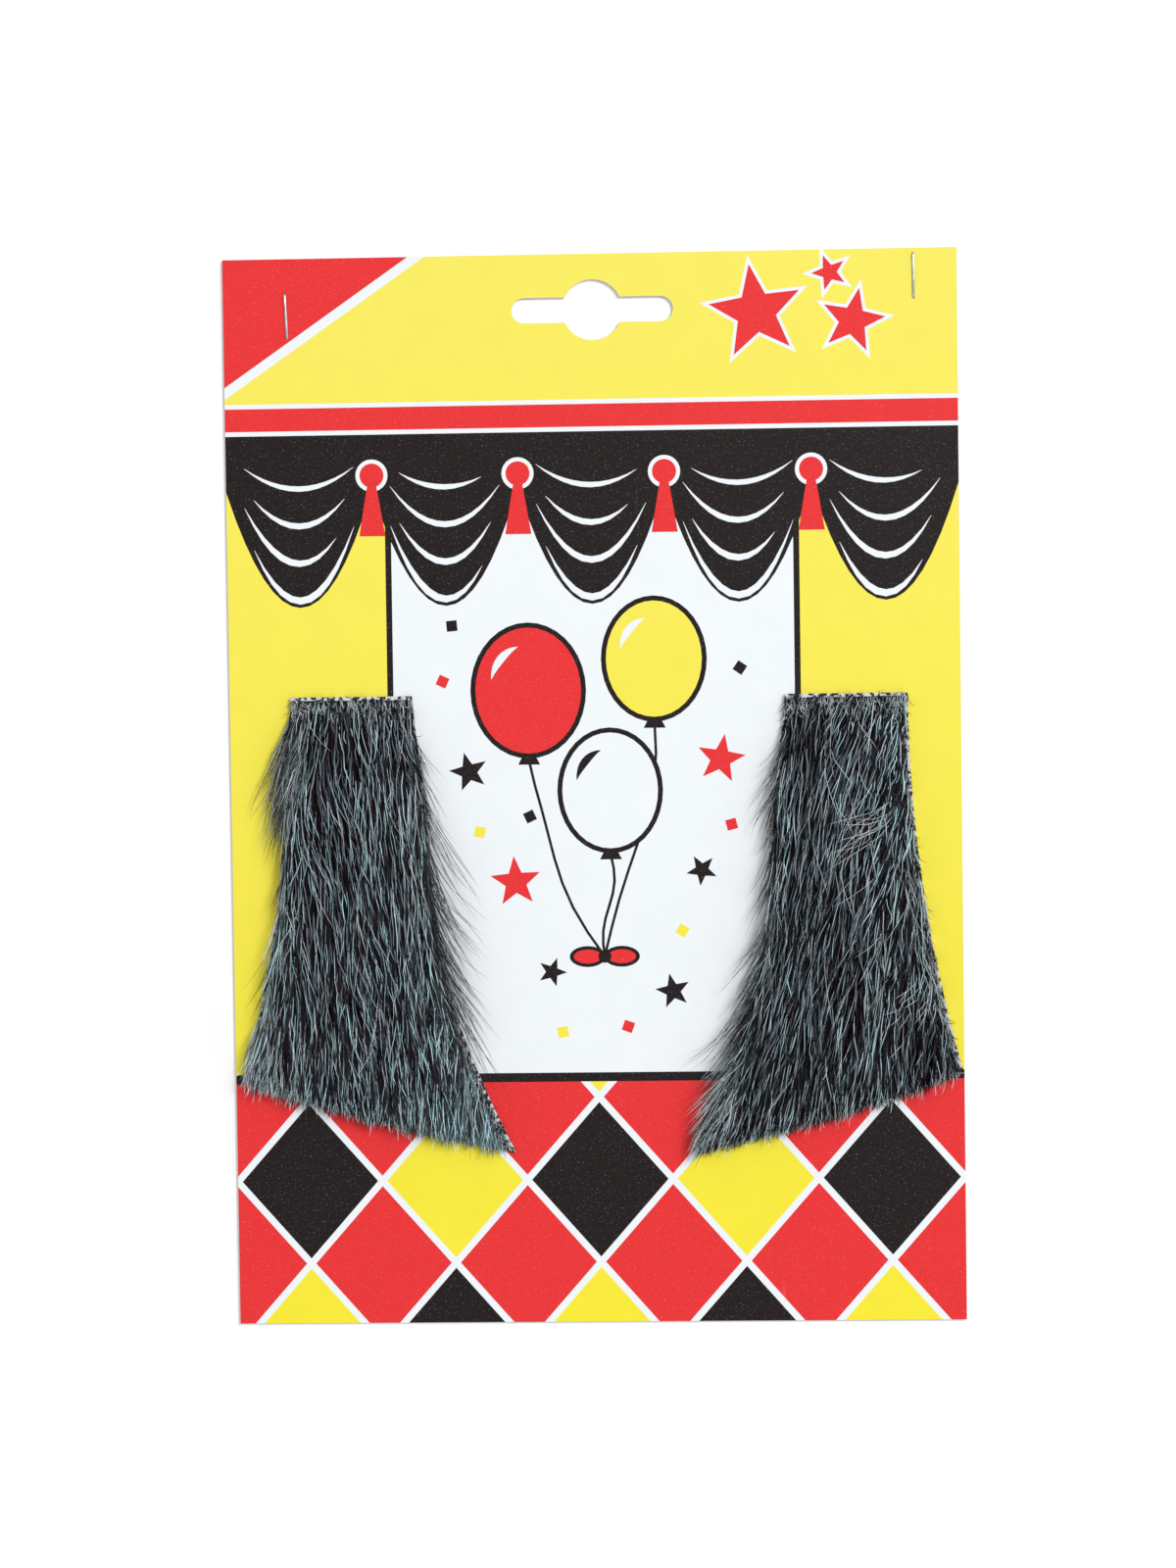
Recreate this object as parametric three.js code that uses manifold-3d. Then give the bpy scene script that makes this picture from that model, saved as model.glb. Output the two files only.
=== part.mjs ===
// A pair of self-adhesive fake sideburns, cut from long-pile fur cloth, on a flat hanging card.
// Millimetres, +Z up. The card lies on its back with its hanging slot towards +Y.
// The origin is the middle of the card's back face.

import * as THREE from "three";
import { mergeVertices } from "three/addons/utils/BufferGeometryUtils.js";
import Module from "manifold-3d";

const wasm = await Module();
wasm.setup();

// Display card
const CARD_WIDTH = 145;
const CARD_HEIGHT = 212;
const CARD_THICKNESS = 0.8;

// Hanging slot: two arms with round ends and a round middle, for a display hook
const SLOT_LENGTH = 32;
const SLOT_ARM_HEIGHT = 5;
const SLOT_ROUND_DIAMETER = 12;
const SLOT_CENTRE = new THREE.Vector2(0.7, 95);
const SLOT_ARC_STEPS = 10;

// Wire staples, clinched flush into the back of the card
const STAPLE = { length: 9.3, wireThickness: 0.4, wireWidth: 0.5, clinch: 3.2, bend: 0.3, backRecess: 0.06 };
const STAPLE_GAP = 0.2;
const STAPLE_PLACES = [
  { name: "staple_left", x: -60, y: 94.7, turnDeg: 2.6 },
  { name: "staple_right", x: 64, y: 100.6, turnDeg: 0.6 },
];

// Fur cloth, the same cut for both sideburns. Across runs from the middle of the top edge
// towards the cheek, and drop runs down from the top edge.
const CLOTH = {
  thickness: 1.2,
  topHalfWidth: 12.1,
  outerDrop: 75,
  cheekDrop: 91,
  outerFlare: 10.2,
  outerFlarePower: 2,
  cheekSlope: 8.2,
  cheekBend: 0.55,
  cheekKick: 11.2,
  cheekKickPower: 1.5,
  hemBulge: 1.2,
};
const CLOTH_STEPS = 10;
const ADHESIVE_GAP = 0.3;
const CLOTH_BOTTOM = CARD_THICKNESS + ADHESIVE_GAP;
const CLOTH_TOP = CLOTH_BOTTOM + CLOTH.thickness;

// Rows of fur locks from the top edge to the hem: fall is the share of the way down,
// lift the height of the lock's crest over the cloth.
const LOCK_ROWS = [
  { fall: 0.015, locks: 6, length: 18, lift: 3.0 },
  { fall: 0.1, locks: 7, length: 21, lift: 4.2 },
  { fall: 0.2, locks: 6, length: 23, lift: 5.0 },
  { fall: 0.3, locks: 7, length: 24, lift: 5.4 },
  { fall: 0.4, locks: 8, length: 24, lift: 5.6 },
  { fall: 0.5, locks: 7, length: 24, lift: 5.6 },
  { fall: 0.6, locks: 8, length: 23, lift: 5.4 },
  { fall: 0.7, locks: 9, length: 22, lift: 5.0 },
  { fall: 0.8, locks: 10, length: 19, lift: 4.4 },
  { fall: 0.9, locks: 11, length: 15, lift: 3.6 },
];
const LOCK_OVERLAP = 1.5;
const LOCK_OVERHANG = 0.6;

// Shares of the cloth's thickness where the keels of neighbouring locks lie by turns
const KEEL_LEVELS = [0.35, 0.45, 0.55];

// One lock's cross-sections: along its length, as shares of its width and of its lift
const LOCK_SECTIONS = [
  { along: 0, width: 0.6, crest: 0.3, shoulder: 0.15 },
  { along: 0.32, width: 1, crest: 0.85, shoulder: 0.55 },
  { along: 0.72, width: 0.8, crest: 1, shoulder: 0.7 },
];
const LOCK_TIP_CREST = 0.72;
const SHOULDER_TO_WIDTH = 0.36;

// Both sideburns, with the lean of their locks towards the cheek in degrees,
// at the outer edge, the middle and the cheek edge
const SIDEBURNS = [
  {
    name: "sideburn_left",
    x: -48.2,
    y: 19.2,
    mirrored: false,
    nap: [
      { fall: 0, outer: -22, middle: 2, cheek: 6 },
      { fall: 0.12, outer: -24, middle: 4, cheek: 8 },
      { fall: 0.25, outer: -6, middle: 6, cheek: 12 },
      { fall: 0.5, outer: 0, middle: 8, cheek: 10 },
      { fall: 1, outer: -4, middle: 4, cheek: -4 },
    ],
  },
  {
    name: "sideburn_right",
    x: 49.9,
    y: 18.7,
    mirrored: true,
    nap: [
      { fall: 0, outer: 4, middle: 10, cheek: 9 },
      { fall: 0.3, outer: 4, middle: 13, cheek: 14 },
      { fall: 0.65, outer: 2, middle: 14, cheek: 33 },
      { fall: 1, outer: 2, middle: 14, cheek: 36 },
    ],
  },
];

// The scissor cut that ends the fur just past the hem
const HAIR_PAST_HEM = 1.5;
const TRIM_REACH = 40;
const TRIM_HEIGHT = 20;

// Colours
const INK_YELLOW = 0xfaee68;
const FUR_GREY = 0x454c52;
const STAPLE_STEEL = 0xb9bcc0;

// A three.js geometry as a solid that can be joined and cut
function toSolid(geometry) {
  const bare = geometry.index ? geometry.toNonIndexed() : geometry.clone();
  bare.deleteAttribute("normal");
  bare.deleteAttribute("uv");
  const merged = mergeVertices(bare, 1e-4);
  return new wasm.Manifold(
    new wasm.Mesh({
      numProp: 3,
      vertProperties: merged.attributes.position.array,
      triVerts: new Uint32Array(merged.index.array),
    }),
  );
}

// A solid's faces as a three.js geometry
function toGeometry(solid) {
  const mesh = solid.getMesh();
  const geometry = new THREE.BufferGeometry();
  geometry.setAttribute("position", new THREE.BufferAttribute(mesh.vertProperties, 3));
  geometry.setIndex(new THREE.BufferAttribute(mesh.triVerts, 1));
  geometry.computeVertexNormals();
  return geometry;
}

function namedMesh(name, geometry, material) {
  const mesh = new THREE.Mesh(geometry, material);
  mesh.name = name;
  return mesh;
}

// A closed body through rings of points, each clockwise seen from the tip, ending in a point
function loftToTip(rings, tip) {
  const sides = rings[0].length;
  const points = [...rings.flat(), tip];
  const faces = [];
  for (let ring = 0; ring + 1 < rings.length; ring++) {
    for (let side = 0; side < sides; side++) {
      const a = ring * sides + side;
      const b = ring * sides + ((side + 1) % sides);
      faces.push(a, b + sides, b, a, a + sides, b + sides);
    }
  }
  const lastRing = (rings.length - 1) * sides;
  for (let side = 0; side < sides; side++) {
    faces.push(lastRing + ((side + 1) % sides), lastRing + side, points.length - 1);
  }
  for (let side = 1; side + 1 < sides; side++) faces.push(0, side, side + 1);
  const geometry = new THREE.BufferGeometry().setFromPoints(points);
  geometry.setIndex(faces);
  return geometry;
}

// The hanging slot's outline: round middle, arms and round ends
function slotPath() {
  const armHalf = SLOT_ARM_HEIGHT / 2;
  const roundRadius = SLOT_ROUND_DIAMETER / 2;
  const endX = SLOT_LENGTH / 2 - armHalf;
  const meet = Math.asin(armHalf / roundRadius);
  const { x, y } = SLOT_CENTRE;
  const path = new THREE.Path();
  path.absarc(x + endX, y, armHalf, -Math.PI / 2, Math.PI / 2, false);
  path.absarc(x, y, roundRadius, meet, Math.PI - meet, false);
  path.absarc(x - endX, y, armHalf, Math.PI / 2, (3 * Math.PI) / 2, false);
  path.absarc(x, y, roundRadius, Math.PI + meet, 2 * Math.PI - meet, false);
  path.closePath();
  return path;
}

// A staple's side view, grown on every side by a gap where it is used as a cutter
function stapleShape(grow) {
  const end = STAPLE.length / 2 + grow;
  const bottom = STAPLE.backRecess - grow;
  const clinchTop = STAPLE.backRecess + STAPLE.wireThickness + grow;
  const crownBottom = CARD_THICKNESS + STAPLE_GAP - grow;
  const crownTop = CARD_THICKNESS + STAPLE_GAP + STAPLE.wireThickness + grow;
  const legInside = end - STAPLE.wireThickness - 2 * grow;
  const clinchEnd = end - STAPLE.clinch - 2 * grow;
  const shape = new THREE.Shape();
  shape.moveTo(-end, bottom);
  shape.lineTo(-clinchEnd, bottom);
  shape.lineTo(-clinchEnd, clinchTop);
  shape.lineTo(-legInside, clinchTop);
  shape.lineTo(-legInside, crownBottom);
  shape.lineTo(legInside, crownBottom);
  shape.lineTo(legInside, clinchTop);
  shape.lineTo(clinchEnd, clinchTop);
  shape.lineTo(clinchEnd, bottom);
  shape.lineTo(end, bottom);
  shape.lineTo(end, crownTop - STAPLE.bend);
  shape.quadraticCurveTo(end, crownTop, end - STAPLE.bend, crownTop);
  shape.lineTo(-end + STAPLE.bend, crownTop);
  shape.quadraticCurveTo(-end, crownTop, -end, crownTop - STAPLE.bend);
  return shape;
}

// A staple along +Y with its crown up, at its place on the card
function stapleGeometry(place, grow = 0) {
  const depth = STAPLE.wireWidth + 2 * grow;
  const settings = { depth, bevelEnabled: false, curveSegments: 3 };
  const geometry = new THREE.ExtrudeGeometry(stapleShape(grow), settings);
  geometry.translate(0, 0, -depth / 2);
  geometry.rotateX(Math.PI / 2);
  geometry.rotateZ(Math.PI / 2 + THREE.MathUtils.degToRad(place.turnDeg));
  geometry.translate(place.x, place.y, 0);
  return geometry;
}

// The card with its hanging slot, pierced and recessed for the staples
function cardGeometry() {
  const outline = new THREE.Shape();
  outline.moveTo(-CARD_WIDTH / 2, -CARD_HEIGHT / 2);
  outline.lineTo(CARD_WIDTH / 2, -CARD_HEIGHT / 2);
  outline.lineTo(CARD_WIDTH / 2, CARD_HEIGHT / 2);
  outline.lineTo(-CARD_WIDTH / 2, CARD_HEIGHT / 2);
  outline.closePath();
  outline.holes.push(slotPath());
  const blank = new THREE.ExtrudeGeometry(outline, {
    depth: CARD_THICKNESS,
    bevelEnabled: false,
    curveSegments: SLOT_ARC_STEPS,
  });
  let card = toSolid(blank);
  for (const place of STAPLE_PLACES) {
    card = card.subtract(toSolid(stapleGeometry(place, STAPLE_GAP)));
  }
  return toGeometry(card);
}

// A place on the cloth: u runs from the outer edge to the cheek edge, fall from the top edge to the hem
function onCloth(u, fall) {
  const outer = -(CLOTH.topHalfWidth + CLOTH.outerFlare * fall ** CLOTH.outerFlarePower);
  const pastBend = Math.max(0, (fall - CLOTH.cheekBend) / (1 - CLOTH.cheekBend));
  const kick = CLOTH.cheekKick * pastBend ** CLOTH.cheekKickPower;
  const cheek = CLOTH.topHalfWidth + CLOTH.cheekSlope * fall + kick;
  const bulge = CLOTH.hemBulge * 4 * u * (1 - u);
  const column = THREE.MathUtils.lerp(CLOTH.outerDrop, CLOTH.cheekDrop, u) + bulge;
  return { across: outer + (cheek - outer) * u, drop: column * fall };
}

// The cloth's cut edge, anticlockwise from the top of its outer edge, in x across and y up
function clothOutline() {
  const step = 1 / CLOTH_STEPS;
  const edge = [];
  for (let i = 0; i < CLOTH_STEPS; i++) edge.push(onCloth(0, i * step));
  for (let i = 0; i < CLOTH_STEPS; i++) edge.push(onCloth(i * step, 1));
  for (let i = CLOTH_STEPS; i >= 0; i--) edge.push(onCloth(1, i * step));
  return edge.map(({ across, drop }) => new THREE.Vector2(across, -drop));
}

function clothSolid() {
  const cloth = new THREE.ExtrudeGeometry(new THREE.Shape(clothOutline()), {
    depth: CLOTH.thickness,
    bevelEnabled: false,
  });
  cloth.translate(0, 0, CLOTH_BOTTOM);
  return toSolid(cloth);
}

// Everything that the scissors leave: all of the fur above a line just past the hem
function trimSolid() {
  const line = [];
  for (let i = 0; i <= CLOTH_STEPS; i++) {
    const { across, drop } = onCloth(i / CLOTH_STEPS, 1);
    line.push(new THREE.Vector2(across, -drop - HAIR_PAST_HEM));
  }
  const left = line[0].x - TRIM_REACH;
  const right = line[CLOTH_STEPS].x + TRIM_REACH;
  line.unshift(new THREE.Vector2(left, line[0].y));
  line.push(new THREE.Vector2(right, line.at(-1).y));
  line.push(new THREE.Vector2(right, TRIM_REACH));
  line.push(new THREE.Vector2(left, TRIM_REACH));
  const settings = { depth: TRIM_HEIGHT, bevelEnabled: false };
  return toSolid(new THREE.ExtrudeGeometry(new THREE.Shape(line), settings));
}

// The lean of the nap in radians at a place on the cloth, read from its table
function leanAt(nap, u, fall) {
  const lerp = THREE.MathUtils.lerp;
  const next = Math.max(1, nap.findIndex((row) => row.fall >= fall));
  const upper = nap[next - 1];
  const lower = nap[next];
  const mix = (fall - upper.fall) / (lower.fall - upper.fall);
  const outer = lerp(upper.outer, lower.outer, mix);
  const middle = lerp(upper.middle, lower.middle, mix);
  const cheek = lerp(upper.cheek, lower.cheek, mix);
  const lean = u < 0.5 ? lerp(outer, middle, 2 * u) : lerp(middle, cheek, 2 * u - 1);
  return THREE.MathUtils.degToRad(lean);
}

// One lock of fur, rooted in the cloth and lying along the nap
function lockSolid(root, lean, width, row, level) {
  const along = new THREE.Vector2(Math.sin(lean), -Math.cos(lean));
  const aside = new THREE.Vector2(-along.y, along.x);
  const keel = CLOTH_BOTTOM + CLOTH.thickness * level;
  const place = (distance, sideways, height) =>
    new THREE.Vector3(
      root.across + along.x * distance + aside.x * sideways,
      -root.drop + along.y * distance + aside.y * sideways,
      height,
    );
  const rings = LOCK_SECTIONS.map((section) => {
    const distance = section.along * row.length;
    const half = (section.width * width) / 2;
    const shoulder = section.width * width * SHOULDER_TO_WIDTH;
    const shoulderHeight = CLOTH_TOP + row.lift * section.shoulder;
    return [
      place(distance, -half, keel),
      place(distance, -shoulder, shoulderHeight),
      place(distance, 0, CLOTH_TOP + row.lift * section.crest),
      place(distance, shoulder, shoulderHeight),
      place(distance, half, keel),
    ];
  });
  return toSolid(loftToTip(rings, place(row.length, 0, CLOTH_TOP + row.lift * LOCK_TIP_CREST)));
}

// A sideburn: rows of locks fused to their cloth and trimmed along the hem
function sideburnGeometry(nap) {
  let fur = clothSolid();
  LOCK_ROWS.forEach((row, rowIndex) => {
    const clothWidth = onCloth(1, row.fall).across - onCloth(0, row.fall).across;
    const width = (LOCK_OVERLAP * clothWidth) / row.locks;
    const inset = (width / 2 - LOCK_OVERHANG) / clothWidth;
    const pitch = (1 - 2 * inset) / (row.locks - 1);
    for (let i = 0; i < row.locks; i++) {
      const u = inset + i * pitch;
      const level = KEEL_LEVELS[(2 * i + rowIndex) % KEEL_LEVELS.length];
      fur = fur.add(lockSolid(onCloth(u, row.fall), leanAt(nap, u, row.fall), width, row, level));
    }
  });
  return toGeometry(fur.intersect(trimSolid()));
}

const cardMaterial = new THREE.MeshStandardMaterial({ color: INK_YELLOW, roughness: 0.45, metalness: 0 });
const furMaterial = new THREE.MeshStandardMaterial({ color: FUR_GREY, roughness: 0.6, metalness: 0 });
const stapleMaterial = new THREE.MeshStandardMaterial({ color: STAPLE_STEEL, roughness: 0.3, metalness: 1 });

const part = new THREE.Group();
part.add(namedMesh("display_card", cardGeometry(), cardMaterial));
for (const place of STAPLE_PLACES) {
  part.add(namedMesh(place.name, stapleGeometry(place), stapleMaterial));
}
for (const sideburn of SIDEBURNS) {
  const mesh = namedMesh(sideburn.name, sideburnGeometry(sideburn.nap), furMaterial);
  mesh.position.set(sideburn.x, sideburn.y, 0);
  if (sideburn.mirrored) mesh.scale.x = -1;
  part.add(mesh);
}

export default part;
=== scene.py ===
"""Looks of a pair of fake sideburns on a printed hanging card.

Metres, +Z up. The card lies on its back on the floor, with its hanging slot towards +Y.
Outlines of the print and of the fur cloth are written in millimetres and scaled once.
"""

import math

import bpy
import numpy as np
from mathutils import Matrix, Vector
from mathutils.geometry import delaunay_2d_cdt


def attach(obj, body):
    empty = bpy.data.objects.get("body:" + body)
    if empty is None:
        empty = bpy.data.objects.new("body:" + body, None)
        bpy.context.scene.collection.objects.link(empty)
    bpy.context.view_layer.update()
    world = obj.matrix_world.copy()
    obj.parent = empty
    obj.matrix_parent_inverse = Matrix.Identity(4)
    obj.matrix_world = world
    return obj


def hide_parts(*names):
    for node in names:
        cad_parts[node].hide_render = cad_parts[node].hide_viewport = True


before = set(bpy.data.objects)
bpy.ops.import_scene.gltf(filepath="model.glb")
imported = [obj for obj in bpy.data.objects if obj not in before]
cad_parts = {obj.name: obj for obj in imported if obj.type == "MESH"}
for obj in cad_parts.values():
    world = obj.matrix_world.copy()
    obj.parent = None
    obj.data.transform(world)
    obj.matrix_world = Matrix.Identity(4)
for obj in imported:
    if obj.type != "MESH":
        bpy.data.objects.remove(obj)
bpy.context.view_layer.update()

MM = 0.001
SEED = 41


def table(columns, *rows):
    """Rows of values under one line of column names."""
    names = columns.split()
    return [dict(zip(names, row)) for row in rows]


def named_table(columns, rows):
    """A table whose rows have names of their own."""
    return dict(zip(rows, table(columns, *rows.values())))


# Card and staples, in millimetres and degrees
CARD_WIDTH = 145
CARD_HEIGHT = 212
CARD_THICKNESS = 0.8
SLOT = {"x": 0.7, "y": 95, "length": 32, "arm_height": 5, "round_diameter": 12}
STAPLE = {
    "length": 9.3,
    "wire_width": 0.5,
    "wire_thickness": 0.4,
    "wire_corners": 0.6,
    "wire_sides": 12,
    "clinch": 3.2,
    "bend": 0.45,
    "foot_bend": 0.15,
    "sunk": 0.04,
}
STAPLE_PLACES = table(
    "name x y turn",
    ("staple_left", -60.0, 94.7, 2.6),
    ("staple_right", 64.0, 100.6, 0.6),
)
WIRE_BRIGHT = (0.66, 0.67, 0.68, 1)
WIRE_DULL = (0.42, 0.42, 0.42, 1)

# Inks and board, in the order of the card's materials: the linear colour, how much of the ink is
# missing in flecks, and how far it fades towards the top
BOARD_WHITE = (0.86, 0.9, 0.93, 1)
CARD_MATERIALS = named_table("Ink Flecks Fade", {
    "ink_yellow": ((0.92, 0.8, 0.034, 1), 0.1, 0.09),
    "ink_red": ((0.8, 0.03, 0.033, 1), 0.1, 0.0),
    "ink_black": ((0.0105, 0.0055, 0.0055, 1), 0.1, 0.0),
    "bare_board": (BOARD_WHITE, 0.0, 0.0),
    "board_edge": ((0.8, 0.79, 0.75, 1), 0.3, 0.0),
    "board_back": ((0.52, 0.5, 0.46, 1), 0.25, 0.0),
})
YELLOW, RED, BLACK, WHITE, EDGE, BACK = range(len(CARD_MATERIALS))
CARD_FINISH = {"specular": 0.2, "bump": 0.15, "bump_depth": 0.02 * MM}

# The print, in millimetres and degrees. Areas that run off the card end at the bleed.
BLEED = {"x": 80, "y": 112}
KEYLINE = 0.9
STAGE_EDGE = -57
STAGE_LINE = 1.8
LOZENGES = {"wide": 29, "tall": 33, "rows": 6, "columns": range(-3, 4), "drop": 4, "underlap": 20}
PANEL_HALF_WIDTH = 41
PANEL_LINE = 1.2
RAIL_BOTTOM = 72
RAIL_TOP = 76.5
SWAGS = {"count": 5, "ends": 60, "middle": 37, "steps": 17}
FOLDS = {"count": 4, "start": 4, "drop": 1.2, "depth": 0.24, "deeper": 0.2, "width": 1.0, "wider": 0.12}
FOLD_TIP = 0.06
TASSEL = {"up": 3, "rim": 3.2, "knob": 2.4, "foot": 2.6, "neck": 0.9, "drop": 9, "rise": 1}
FLASH = {"wide": 36.8, "tall": 25.3, "stripe": 1.9}
BALLOONS = table(
    "ink x y half_width half_height",
    (RED, -13, 20, 10.5, 12.5),
    (YELLOW, 12, 26, 9.5, 11.5),
    (WHITE, 3, 0, 9.5, 11.5),
)
BALLOON_LINE = 1
KNOT = {"half_width": 2.2, "drop": 2.2, "rise": 2}
SHINE = {"first": 105, "last": 165, "inset": 0.72, "tip": 0.08, "width": 1.5}
STRING = {"gap": 1.5, "bend": 1.6, "sway": 0.8, "width": 0.55}
LINE_STEPS = 9
BOW = {"x": 1.5, "y": -33, "aside": 3.4, "loop": (2.8, 1.4), "rim": (3.6, 2.1), "knot": 1.3}
STAR_NOTCH = 0.42
STAR_RIM = 1.8
STARS = table(
    "ink x y radius turn",
    (RED, 33, 94, 9.5, 8),
    (RED, 52, 92, 6.5, -12),
    (RED, 47.5, 101.5, 3.6, 20),
    (BLACK, -25, 4, 4, 14),
    (RED, 25, 6, 5, -10),
    (BLACK, 21, -16, 3.2, 30),
    (RED, -16, -18, 5.2, 4),
    (BLACK, -9, -36, 3, -20),
    (BLACK, 15, -40, 3.6, 12),
)
CONFETTI_RADIUS = 1.5
CONFETTI = table(
    "ink x y turn",
    (RED, -30, 22, 20),
    (BLACK, -28, 33, 50),
    (BLACK, 29, 24, 10),
    (YELLOW, -23, -8, 35),
    (BLACK, -13, -5, 70),
    (YELLOW, 17, -28, 15),
    (RED, 27, -7, 60),
    (RED, 6, -47, 25),
    (YELLOW, -7, -48, 55),
)

# Fur cloth, in millimetres. Across runs from the middle of the top edge towards the cheek,
# drop runs down from the top edge.
CLOTH = {
    "bottom": 1.0,
    "thickness": 0.9,
    "top_half_width": 12.1,
    "mean_width": 34,
    "outer_drop": 75,
    "cheek_drop": 91,
    "outer_flare": 10.2,
    "outer_flare_power": 2,
    "cheek_slope": 8.2,
    "cheek_bend": 0.55,
    "cheek_kick": 11.2,
    "cheek_kick_power": 1.5,
    "hem_bulge": 1.2,
}
CLOTH_TOP = CLOTH["bottom"] + CLOTH["thickness"]
# The base is the cloth under the pile. Its near-black yarn is partly the dark roots of the tufts and partly
# painted shade under the pile; the rim shows the pale yarn.
CLOTH_MATERIALS = named_table("Yarn Tufts", {
    "cloth_rim": ((0.7, 0.71, 0.7, 1), 1.0),
    "cloth_base_roots_and_shade": ((0.02, 0.021, 0.024, 1), 0.6),
})
CLOTH_FINISH = {"specular": 0.2, "roughness": 0.9, "bump": 0.6, "bump_depth": 0.2 * MM}
CLOTH_LINES = {"u": 15, "fall": 31}

# How far past the cloth its shape is followed, in shares, and the rounds of guessing at a place
SHAPE_LIMITS = {"u": (-0.2, 1.2), "fall": (0, 1.15)}
GUESS_ROUNDS = 8

# The cloth's bare rim in millimetres, and as shares of its mean width and mean drop
CLOTH_RIM = 0.7
RIM_U = CLOTH_RIM / CLOTH["mean_width"]
RIM_FALL = 2 * CLOTH_RIM / (CLOTH["outer_drop"] + CLOTH["cheek_drop"])

# Waves over the cloth, each with its turns in radians per millimetre: the nap's eddies in degrees,
# the ragged scissor cut along the hem and the ripple of the cloth in millimetres
WAVE_COLUMNS = "height across drop start"
NAP_EDDIES = table(WAVE_COLUMNS, (3, 0.42, 0.11, 0), (3, -0.7, 0.23, 1))
HEM_CUTS = table(WAVE_COLUMNS, (0.4, 0.8, 0, 0), (0.4, 1.9, 0, 2), (0.4, 3.1, 0, 0))
CLOTH_RIPPLE = table(WAVE_COLUMNS, (0.05, 0.9, 0.3, 0), (0.04, 0, 0.55, 0))

# How much shorter the hairs are cut for each millimetre that they lie past the cheek edge
CORNER_CUT = 1.3

# Height of the pile over the cloth, in millimetres, by the share of the way down
PILE_FALL = [0, 0.06, 0.2, 0.45, 0.7, 0.9, 1]
PILE_HEIGHT = [1.8, 3.0, 4.8, 5.5, 5.0, 3.8, 3.0]

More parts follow.
